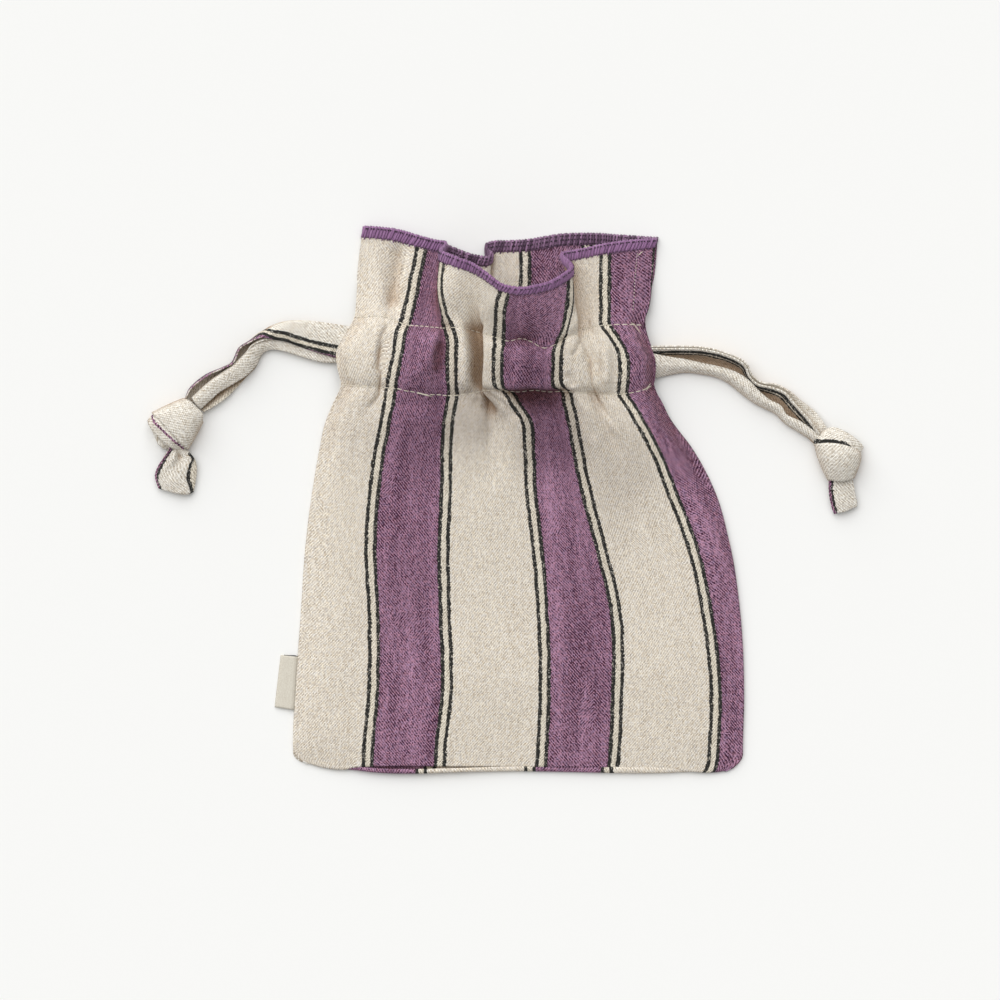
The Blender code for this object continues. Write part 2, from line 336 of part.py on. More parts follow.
def loft(sections, columns, rows):
    """Middle surface of a panel in world coordinates, one row of points for each height in rows.

    Columns are places on the printed cloth; the first and last are put on the side seams.
    """
    lines = []
    places = []
    for height, points in sections:
        seam = PRINT_SLANT * max(height, 0.0)
        knots = [seam if place is L else seam + PANEL_UNITS if place is R else place for place, *_ in points]
        shares = np.array((np.array(knots) - seam) / PANEL_UNITS)
        lines.append((height, shares, np.array([point[1:] for point in points], float)))
    for row in rows:
        seam = PRINT_SLANT * max(row, 0.0)
        inset = corner_inset(max(row, 0.0)) / PANEL_UNITS
        inner = (np.array(columns[1:], float) - seam) / PANEL_UNITS
        turn = SEAM_TURN / POUCH_WIDTH
        shares = np.concatenate(([turn], inner, [1.0 - turn]))
        places.append(inset + (1.0 - 2.0 * inset) * shares)
    levels = [height for height, _, _ in lines]
    grid = np.empty((len(rows), len(columns) + 1, 3))
    for index, (row, shares) in enumerate(zip(rows, places)):
        stack = np.array([cubic_through(knots, points, shares) for _, knots, points in lines])
        grid[index] = cubic_through(levels, stack, np.array([row]))[0]
    heights = np.repeat(np.array(rows)[:, None], grid.shape[1], axis=1)
    world = to_world(grid, heights)
    world[..., 2] = np.maximum(world[..., 2], CLOTH / 2)
    return world


def front_surface(columns, rows):
    """Middle surface of the front panel, lifted where the layers under the gathered neck need more room."""
    grid = loft(FRONT_SECTIONS, columns, rows)
    lift = casing_levels()["front_cloth"] - PLAN_BED * CLOTH / PLAN_CLOTH
    across = np.linspace(0.0, 1.0, grid.shape[1])
    hump = np.clip(4.0 * across * (1.0 - across) * 2.0, 0.0, 1.0)
    rise = np.interp(rows, (24.0, 100.0), (0.0, 1.0))
    grid[..., 2] += lift * rise[:, None] * hump[None, :]
    return grid


def back_surface(columns, rows):
    """Middle surface of the back panel, with the folds that the gathering presses into it."""
    grid = loft(BACK_SECTIONS, columns, rows)
    knots, shares = zip(*BACK_FOLD_GROWTH)
    growth = np.interp(rows, knots, shares)
    for index, row in enumerate(rows):
        seam = PRINT_SLANT * max(row, 0.0)
        places = np.concatenate(([seam], columns[1:], [seam + PANEL_UNITS]))
        for middle, half in BACK_FOLDS:
            reach = np.clip(np.abs(places - middle) / half, 0.0, 1.0)
            grid[index, :, 2] += BACK_FOLD_RISE * growth[index] * np.cos(reach * math.pi / 2)**2
    return grid


def seam_share(rows):
    """1 where the side seams are sewn, fading to 0 at the slits for the cords and above them."""
    return np.interp(rows, (122.0, 133.0), (1.0, 0.0))


def with_turned_edges(grid, rows, end_height):
    """The grid with one more column at each side, turned to the seam's height where the seam is sewn.

    The rows that roll up round the bottom edge keep their own heights.
    """
    sewn = seam_share(rows) * (np.asarray(rows) > -0.5)
    sides = []
    for side, direction in ((0, -1.0), (-1, 1.0)):
        edge = grid[:, side].copy()
        edge[:, 0] += direction * SEAM_TURN
        edge[:, 2] += sewn * (end_height - edge[:, 2])
        sides.append(edge)
    return np.concatenate((sides[0][:, None], grid, sides[1][:, None]), axis=1)


def grid_normals(grid):
    """Unit normals of a grid of points, from the differences between neighbours."""
    along = np.gradient(grid, axis=1)
    up = np.gradient(grid, axis=0)
    normals = np.cross(along, up)
    return normals / np.linalg.norm(normals, axis=2, keepdims=True)


def material(name, colour, roughness):
    """A plain cloth material."""
    cloth = bpy.data.materials.new(name)
    cloth.use_nodes = True
    shader = cloth.node_tree.nodes["Principled BSDF"]
    shader.inputs["Base Color"].default_value = (*colour, 1.0)
    shader.inputs["Roughness"].default_value = roughness
    shader.inputs["Metallic"].default_value = 0.0
    return cloth


def add_object(name, vertices, faces, colour, roughness=0.9):
    """A smooth-shaded object of its own name and material, from vertices and faces."""
    mesh = bpy.data.meshes.new(name)
    work = bmesh.new()
    points = [work.verts.new(vertex) for vertex in vertices]
    for face in faces:
        work.faces.new([points[index] for index in face])
    bmesh.ops.recalc_face_normals(work, faces=work.faces)
    work.to_mesh(mesh)
    work.free()
    mesh.materials.append(material(name, colour, roughness))
    mesh.shade_smooth()
    mesh.set_sharp_from_angle(angle=math.radians(50.0))
    piece = bpy.data.objects.new(name, mesh)
    bpy.context.collection.objects.link(piece)
    return piece


def sheet(name, grid, thicknesses, colour):
    """A closed sheet of cloth about a middle surface; thicknesses holds one value for each row."""
    rows, columns = grid.shape[:2]
    offset = grid_normals(grid) * (np.asarray(thicknesses)[:, None, None] / 2)
    vertices = np.concatenate(((grid + offset).reshape(-1, 3), (grid - offset).reshape(-1, 3)))
    under = rows * columns
    faces = []
    for row in range(rows - 1):
        for column in range(columns - 1):
            a = row * columns + column
            b, c, d = a + 1, a + columns + 1, a + columns
            rising = np.linalg.norm(grid[row + 1, column + 1] - grid[row, column])
            falling = np.linalg.norm(grid[row + 1, column] - grid[row, column + 1])
            halves = ((a, b, c), (a, c, d)) if rising < falling else ((a, b, d), (b, c, d))
            for half in halves:
                faces.append(half)
                faces.append(tuple(under + corner for corner in reversed(half)))
    rim = [(0, column) for column in range(columns)]
    rim += [(row, columns - 1) for row in range(1, rows)]
    rim += [(rows - 1, column) for column in range(columns - 2, -1, -1)]
    rim += [(row, 0) for row in range(rows - 2, 0, -1)]
    for (row, column), (next_row, next_column) in zip(rim, rim[1:] + rim[:1]):
        a = row * columns + column
        b = next_row * columns + next_column
        faces.append((b, a, under + a, under + b))
    return add_object(name, vertices.tolist(), faces, colour)


def tape(name, points, width, thickness, colour):
    """A flat folded tape with rounded edges along a line of points, its width level with the ground."""
    points = np.asarray(points, float)
    tangents = np.gradient(points, axis=0)
    tangents /= np.linalg.norm(tangents, axis=1, keepdims=True)
    sideways = np.cross(tangents, width_axis(tangents))
    sideways /= np.linalg.norm(sideways, axis=1, keepdims=True)
    flat = np.cross(sideways, tangents)
    profile = ((-0.5, 0.0), (-0.44, 0.5), (0.44, 0.5), (0.5, 0.0), (0.44, -0.5), (-0.44, -0.5))
    rings = []
    for point, side, up in zip(points, sideways, flat):
        rings += [point + side * (a * thickness) + up * (b * width) for b, a in profile]
    count = len(profile)
    faces = [tuple(range(count))[::-1], tuple(len(rings) - count + index for index in range(count))]
    for ring in range(len(points) - 1):
        for index in range(count):
            a = ring * count + index
            b = ring * count + (index + 1) % count
            faces.append((a, b, b + count, a + count))
    return add_object(name, [ring.tolist() for ring in rings], faces, colour)


def width_axis(tangents):
    """Direction of a tape's width at each point: level, and square to the way it runs in plan."""
    plan = tangents.copy()
    plan[:, 2] = 0.0
    length = np.linalg.norm(plan, axis=1, keepdims=True)
    level = np.divide(plan, length, out=np.tile((1.0, 0.0, 0.0), (len(plan), 1)), where=length > 0.2)
    level = np.where(level[:, :1] < 0.0, -level, level)
    return np.stack((-level[:, 1], level[:, 0], np.zeros(len(level))), axis=1)


def beside_pouch(plan):
    """World x and y of plan points beyond the pouch's sides, which go where the channel's nearer end goes."""
    middle = NECK_FROM + PLAN_CASING / 2
    exit_x = np.where(plan[:, 0] < PLAN_CENTRE_X, LEFT_EXIT[0], RIGHT_EXIT[0]) - PLAN_CENTRE_X
    x = (plan[:, 0] - PLAN_CENTRE_X + exit_x * (width_share(middle) - 1.0)) * PLAN_UNIT
    y = (PLAN_BOTTOM_Y - plan[:, 1]) * PLAN_UNIT + lengthening(middle) - ORIGIN_UP
    return np.column_stack((x, y))


def route_points(route, spacing=0.0022):
    """World points along a smooth curve through a route's own points."""
    plan = np.array(route, float)
    world = np.column_stack((beside_pouch(plan), plan[:, 2] * MILLI))
    steps = np.concatenate(([0.0], np.cumsum(np.linalg.norm(np.diff(world, axis=0), axis=1))))
    count = max(int(round(steps[-1] / spacing)), 2)
    return cubic_through(steps, world, np.linspace(0.0, steps[-1], count + 1))


def stations(low, high):
    """Plan places from low to high, with one at each end of the neck's level middle."""
    return np.concatenate((np.linspace(low, CREST[0], 5), np.linspace(*CREST, 7)[1:],
                           np.linspace(CREST[1], high, 4)[1:]))


def casing_strip_grid(level, ends, side_level):
    """Middle surface of a casing strip: level in the middle of the neck, falling to side_level at its ends."""
    rows = np.array((NECK_FROM, NECK_FROM + PLAN_CASING * 0.33, NECK_FROM + PLAN_CASING * 0.67, NECK_TO))
    plan_x = stations(*ends)
    lower = np.interp(plan_x, (341, 394, 451, 516, 600, 653), (384, 388, 395, 392, 393, 386))
    upper = np.interp(plan_x, (354, 390, 450, 520, 575, 644), (318, 320, 328, 341, 334, 325))
    margin = STRIP_MARGIN / PLAN_UNIT
    grid = np.empty((4, len(plan_x), 3))
    for index, share in enumerate((0.0, 0.33, 0.67, 1.0)):
        grid[index, :, 0] = plan_x
        grid[index, :, 1] = (lower + margin) + share * ((upper - margin) - (lower + margin))
        grid[index, :, 2] = 0.0
    world = to_world(grid, np.repeat(rows[:, None], len(plan_x), axis=1))
    world[..., 2] = np.interp(plan_x, (ends[0], *CREST, ends[1]), (side_level, level, level, side_level))
    return world


def cord_loop_points(exit_side, lane, levels, strip_ends):
    """Middle line of a cord's run round the channel: along the front, round the far side, back along the back.

    exit_side is -1 where the cord comes out at the left and 1 at the right.
    """
    low, high = strip_ends
    ends = (LEFT_EXIT[0], FAR_RIGHT) if exit_side < 0 else (FAR_LEFT, RIGHT_EXIT[0])
    middle_x = (336, 400, 455, 500, 545, 590, 655)
    middle_y = (352, 354, 360, 363, 365, 360, 362)
    runs = np.unique(np.concatenate((np.linspace(ends[0], low, 5), stations(low, high),
                                     np.linspace(high, max(ends[1], high), 5))))
    runs = runs[(runs >= ends[0]) & (runs <= ends[1])]
    runs = runs if exit_side < 0 else runs[::-1]
    near = runs[0]
    line = np.interp(runs, middle_x, middle_y) - lane * LANE_OFFSET / PLAN_UNIT
    exit_line = LEFT_EXIT[1] if exit_side < 0 else RIGHT_EXIT[1]
    drift = np.clip(1.1 - np.abs(runs - near) / 21.0, 0.0, 1.0)
    drift = drift**2 * (3.0 - 2.0 * drift)
    line = line + drift * (exit_line - line)
    side_front = levels["back_strip"] + STRIP_CLOTH + CLEARANCE + levels["front_cord"] - levels["front_strip"]
    front = np.interp(runs, (low, *CREST, high),
                      (side_front, levels["front_cord"], levels["front_cord"], side_front))
    front = front + drift * (EXIT_OVER - front)
    back = levels["back_cord"] + drift * (EXIT_UNDER - levels["back_cord"])
    rows = np.full(len(runs), NECK_FROM + PLAN_CASING / 2)
    upper = to_world(np.column_stack((runs, line, np.zeros(len(runs)))), rows)
    lower = upper.copy()
    upper[:, 2] = front
    lower[:, 2] = back
    radius = (upper[-1, 2] - lower[-1, 2]) / 2
    centre = (upper[-1] + lower[-1]) / 2
    turns = [centre + np.array((-exit_side * radius * math.sin(angle), 0.0, radius * math.cos(angle)))
             for angle in np.linspace(0.0, math.pi, 8)[1:-1]]
    return np.concatenate((upper, turns, lower[::-1]))


def rounded(outline, count):
    """A closed smooth curve through an outline's corners, as evenly spaced points."""
    corners = np.array(outline, float)
    loop = np.concatenate((corners[-2:], corners, corners[:3]))
    steps = np.concatenate(([0.0], np.cumsum(np.linalg.norm(np.diff(loop, axis=0), axis=1))))
    fine = cubic_through(steps, loop, np.linspace(steps[2], steps[-3], 241))
    lengths = np.concatenate(([0.0], np.cumsum(np.linalg.norm(np.diff(fine, axis=0), axis=1))))
    places = np.linspace(0.0, lengths[-1], count, endpoint=False)
    return np.column_stack([np.interp(places, lengths, fine[:, axis]) for axis in (0, 1)])


def lump(name, outline, height, rings, count, colour):
    """A rounded lump on the ground with an outline in plan.

    Each ring is a share of the outline's size and a share of the height, from the ground up.
    """
    world = beside_pouch(rounded(outline, count))
    middle = world.mean(axis=0)
    vertices = []
    for share, rise in rings:
        vertices += [(*(middle + (point - middle) * share), rise * height) for point in world]
    under = len(vertices)
    vertices += [(*middle, 0.0), (*middle, height)]
    last = under - count
    faces = [(under, (index + 1) % count, index) for index in range(count)]
    faces += [(under + 1, last + index, last + (index + 1) % count) for index in range(count)]
    for ring in range(len(rings) - 1):
        for index in range(count):
            a = ring * count + index
            b = ring * count + (index + 1) % count
            faces.append((a, b, b + count, a + count))
    return add_object(name, vertices, faces, colour)


def build_panels():
    """Both panels and the overcast band along the top of each."""
    band_from = TOP - HEM_HEIGHT / MILLI
    edge_row = band_from - 1.7 * CLEARANCE / MILLI
    front_rows = FRONT_ROWS + (edge_row,)
    back_rows = BACK_ROWS + (edge_row,)
    apart = (CLOTH + CLEARANCE) / 2
    front = with_turned_edges(front_surface(FRONT_COLUMNS, front_rows), front_rows, SEAM_HEIGHT + apart)
    back = with_turned_edges(back_surface(BACK_COLUMNS, back_rows), back_rows, SEAM_HEIGHT - apart)
    sheet("front_panel", front, np.full(len(front_rows), CLOTH), NATURAL)
    sheet("back_panel", back, np.full(len(back_rows), CLOTH), NATURAL)
    band_rows = (band_from, band_from + 1.0, TOP - 1.0, TOP)
    band = (CLOTH, HEM_THICKNESS, HEM_THICKNESS, CLOTH)
    front_band = with_turned_edges(front_surface(FRONT_COLUMNS, band_rows), band_rows, SEAM_HEIGHT)
    back_band = with_turned_edges(back_surface(BACK_COLUMNS, band_rows), band_rows, SEAM_HEIGHT)
    sheet("front_hem_overlock", front_band, band, THREAD)
    sheet("back_hem_overlock", back_band, band, THREAD)


def build_casing():
    """The two inner strips of the channel and the cords' runs between strip and panel."""
    levels = casing_levels()
    front_ends = (362.0, 625.0)
    back_ends = (358.0, 626.0)
    side_level = levels["back_strip"] + STRIP_CLOTH + CLEARANCE
    front = casing_strip_grid(levels["front_strip"], front_ends, side_level)
    back = casing_strip_grid(levels["back_strip"], back_ends, levels["back_strip"])
    sheet("front_casing_strip", front, np.full(4, STRIP_CLOTH), NATURAL)
    sheet("back_casing_strip", back, np.full(4, STRIP_CLOTH), NATURAL)
    left = cord_loop_points(-1, 1.0, levels, front_ends)
    right = cord_loop_points(1, -1.0, levels, front_ends)
    tape("left_cord_loop", left, CASED_CORD_WIDTH, CASED_CORD_THICKNESS, NATURAL)
    tape("right_cord_loop", right, CASED_CORD_WIDTH, CASED_CORD_THICKNESS, NATURAL)


def build_free_cords():
    """The free ends of the drawstrings with their knots and tails."""
    for name, route in (("left_cord_under", LEFT_UNDER_ROUTE), ("left_cord_over", LEFT_OVER_ROUTE),
                        ("right_cord_under", RIGHT_UNDER_ROUTE), ("right_cord_over", RIGHT_OVER_ROUTE)):
        tape(name, route_points(route), CORD_WIDTH, CORD_THICKNESS, NATURAL)
    for name, outline in (("left_cord_knot", LEFT_KNOT), ("right_cord_knot", RIGHT_KNOT)):
        lump(name, outline, KNOT_HEIGHT, KNOT_RINGS, 18, NATURAL)
    for name, outline in (("left_cord_tail", LEFT_TAIL), ("right_cord_tail", RIGHT_TAIL)):
        lump(name, outline, TAIL_THICKNESS, TAIL_RINGS, 18, NATURAL)


def build_label():
    """The folded woven tab at the left side seam."""
    (x0, y0), (x1, y1), (x2, y2), (x3, y3) = LABEL
    outer = np.array(((x3, y3), (x0, y0)))
    seam = np.array(((x2, y2), (x1, y1)))
    shares = np.linspace(0.0, 1.0, 5)
    drop = (0.45, 0.6, 0.85, 1.15, 1.35)
    grid = np.empty((2, len(shares), 3))
    for row in range(2):
        for column, share in enumerate(shares):
            plan = outer[row] + share * (seam[row] - outer[row])
            grid[row, column] = (*plan, drop[column])
    heights = (PLAN_BOTTOM_Y - grid[..., 1]) * PLAN_UNIT / MILLI
    sheet("side_label", to_world(grid, heights), np.full(2, LABEL_THICKNESS), CREAM)


def centre_on_origin():
    """Move everything so that the origin is under the middle of the pouch, leaving out its free cord ends."""
    free = ("_under", "_over", "_knot", "_tail")
    pieces = [piece for piece in bpy.data.objects if piece.type == "MESH"]
    held = np.array([tuple(vertex.co) for piece in pieces if not piece.name.endswith(free)
                     for vertex in piece.data.vertices])
    low, high = held.min(axis=0), held.max(axis=0)
    shift = np.array(((low[0] + high[0]) / 2, (low[1] + high[1]) / 2, 0.0))
    for piece in pieces:
        for vertex in piece.data.vertices:
            vertex.co = tuple(np.array(tuple(vertex.co)) - shift)


def main():
    """Clear the scene and build the pouch."""
    for old in list(bpy.data.objects):
        bpy.data.objects.remove(old, do_unlink=True)
    build_panels()
    build_casing()
    build_free_cords()
    build_label()
    centre_on_origin()


main()
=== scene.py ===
"""Looks of a small gathered drawstring pouch of striped linen, lying flat with its mouth a little open.

Metres, +Z up. The pouch lies on its back panel, +X to the viewer's right and +Y towards the mouth. Its cloth
is lofted through listed cross sections: a place on the cloth, where it lies in plan, and its height.
"""

import logging
import math
from dataclasses import dataclass, field
from enum import Enum

import bmesh
import bpy
import numpy as np
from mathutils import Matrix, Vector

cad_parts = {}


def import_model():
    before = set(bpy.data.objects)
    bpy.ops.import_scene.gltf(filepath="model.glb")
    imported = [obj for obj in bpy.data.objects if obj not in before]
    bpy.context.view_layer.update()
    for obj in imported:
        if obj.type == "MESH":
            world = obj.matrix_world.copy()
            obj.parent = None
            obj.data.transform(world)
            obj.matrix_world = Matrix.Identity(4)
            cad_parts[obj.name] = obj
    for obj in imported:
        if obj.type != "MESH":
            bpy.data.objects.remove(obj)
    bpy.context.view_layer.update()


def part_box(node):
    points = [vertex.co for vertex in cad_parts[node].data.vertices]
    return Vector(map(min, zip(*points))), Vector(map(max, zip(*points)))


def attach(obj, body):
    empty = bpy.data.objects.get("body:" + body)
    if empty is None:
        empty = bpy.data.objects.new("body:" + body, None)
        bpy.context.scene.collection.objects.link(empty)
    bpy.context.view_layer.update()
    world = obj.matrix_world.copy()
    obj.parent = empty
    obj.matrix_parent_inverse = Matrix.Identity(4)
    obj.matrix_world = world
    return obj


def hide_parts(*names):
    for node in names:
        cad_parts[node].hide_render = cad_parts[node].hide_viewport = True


log = logging.getLogger("pouch")

Grid = np.ndarray
Shades = tuple[Grid, Grid]
Socket = bpy.types.NodeSocket
Finish = bpy.types.Material
Piece = bpy.types.Object
Colour = tuple[float, float, float]
Cut = tuple[tuple[float, float, float], ...]
Sources = dict[int | str, object]
Spots = tuple[tuple[float, float], ...]

MILLI = 0.001
TINY = 1e-12

# Plan units are pixels of the photo; they have their own origin and run downwards
PLAN_MM = 0.36
PLAN_UNIT = 0.00036
PLAN_CENTRE_X = 509.3706
PLAN_BOTTOM_Y = 767.0
WORLD_BOTTOM_Y = -0.0961896

UV_NAME = "cloth"
# Attributes of painted shade, which darken the printed cloth's colour in its folds and on its slopes
FOLD_NAME = "fold_shade"
SLOPE_NAME = "slope_shade"
UV_SPAN = 250.0             # millimetres of cloth that one unit of the UV map stands for
UV_SHIFT = 12.0             # millimetres added to both directions, so that the map stays above zero

PANEL_UNITS = 446.0         # width of a panel's cloth between its side seams, in plan units
PANEL_MM = PANEL_UNITS * PLAN_MM
TOP = 190.5                 # height of the panels' cloth, in millimetres
CLOTH_TOP = TOP - 0.4       # where the cloth ends inside the overcast edge
HEM_HEIGHT = 4.3
STITCH_PITCH = 2.7          # millimetres from one stitch of the channel to the next
HEM_FROM = TOP - HEM_HEIGHT
LOWER_ROW, UPPER_ROW = 136.0, 158.5
PRINT_SLANT = 17.0 / TOP    # the stripes lean a little against the side seams
EDGE_STEPS = (0.4, 0.75, 1.0)   # where the columns of a panel's rounded edge lie, from its inside to its seam

# Names for the ends of a section
L = "left seam"
R = "right seam"

# Places of the five pairs of dark lines across each panel's cloth
P1, P2, P3, P4, P5 = 75.5, 148.5, 249.5, 318.5, 419.5
B1, B2, B3, B4, B5 = 51.0, 134.5, 236.0, 310.0, 408.0
FRONT_PAIRS = (P1, P2, P3, P4, P5)
BACK_PAIRS = (B1, B2, B3, B4, B5)

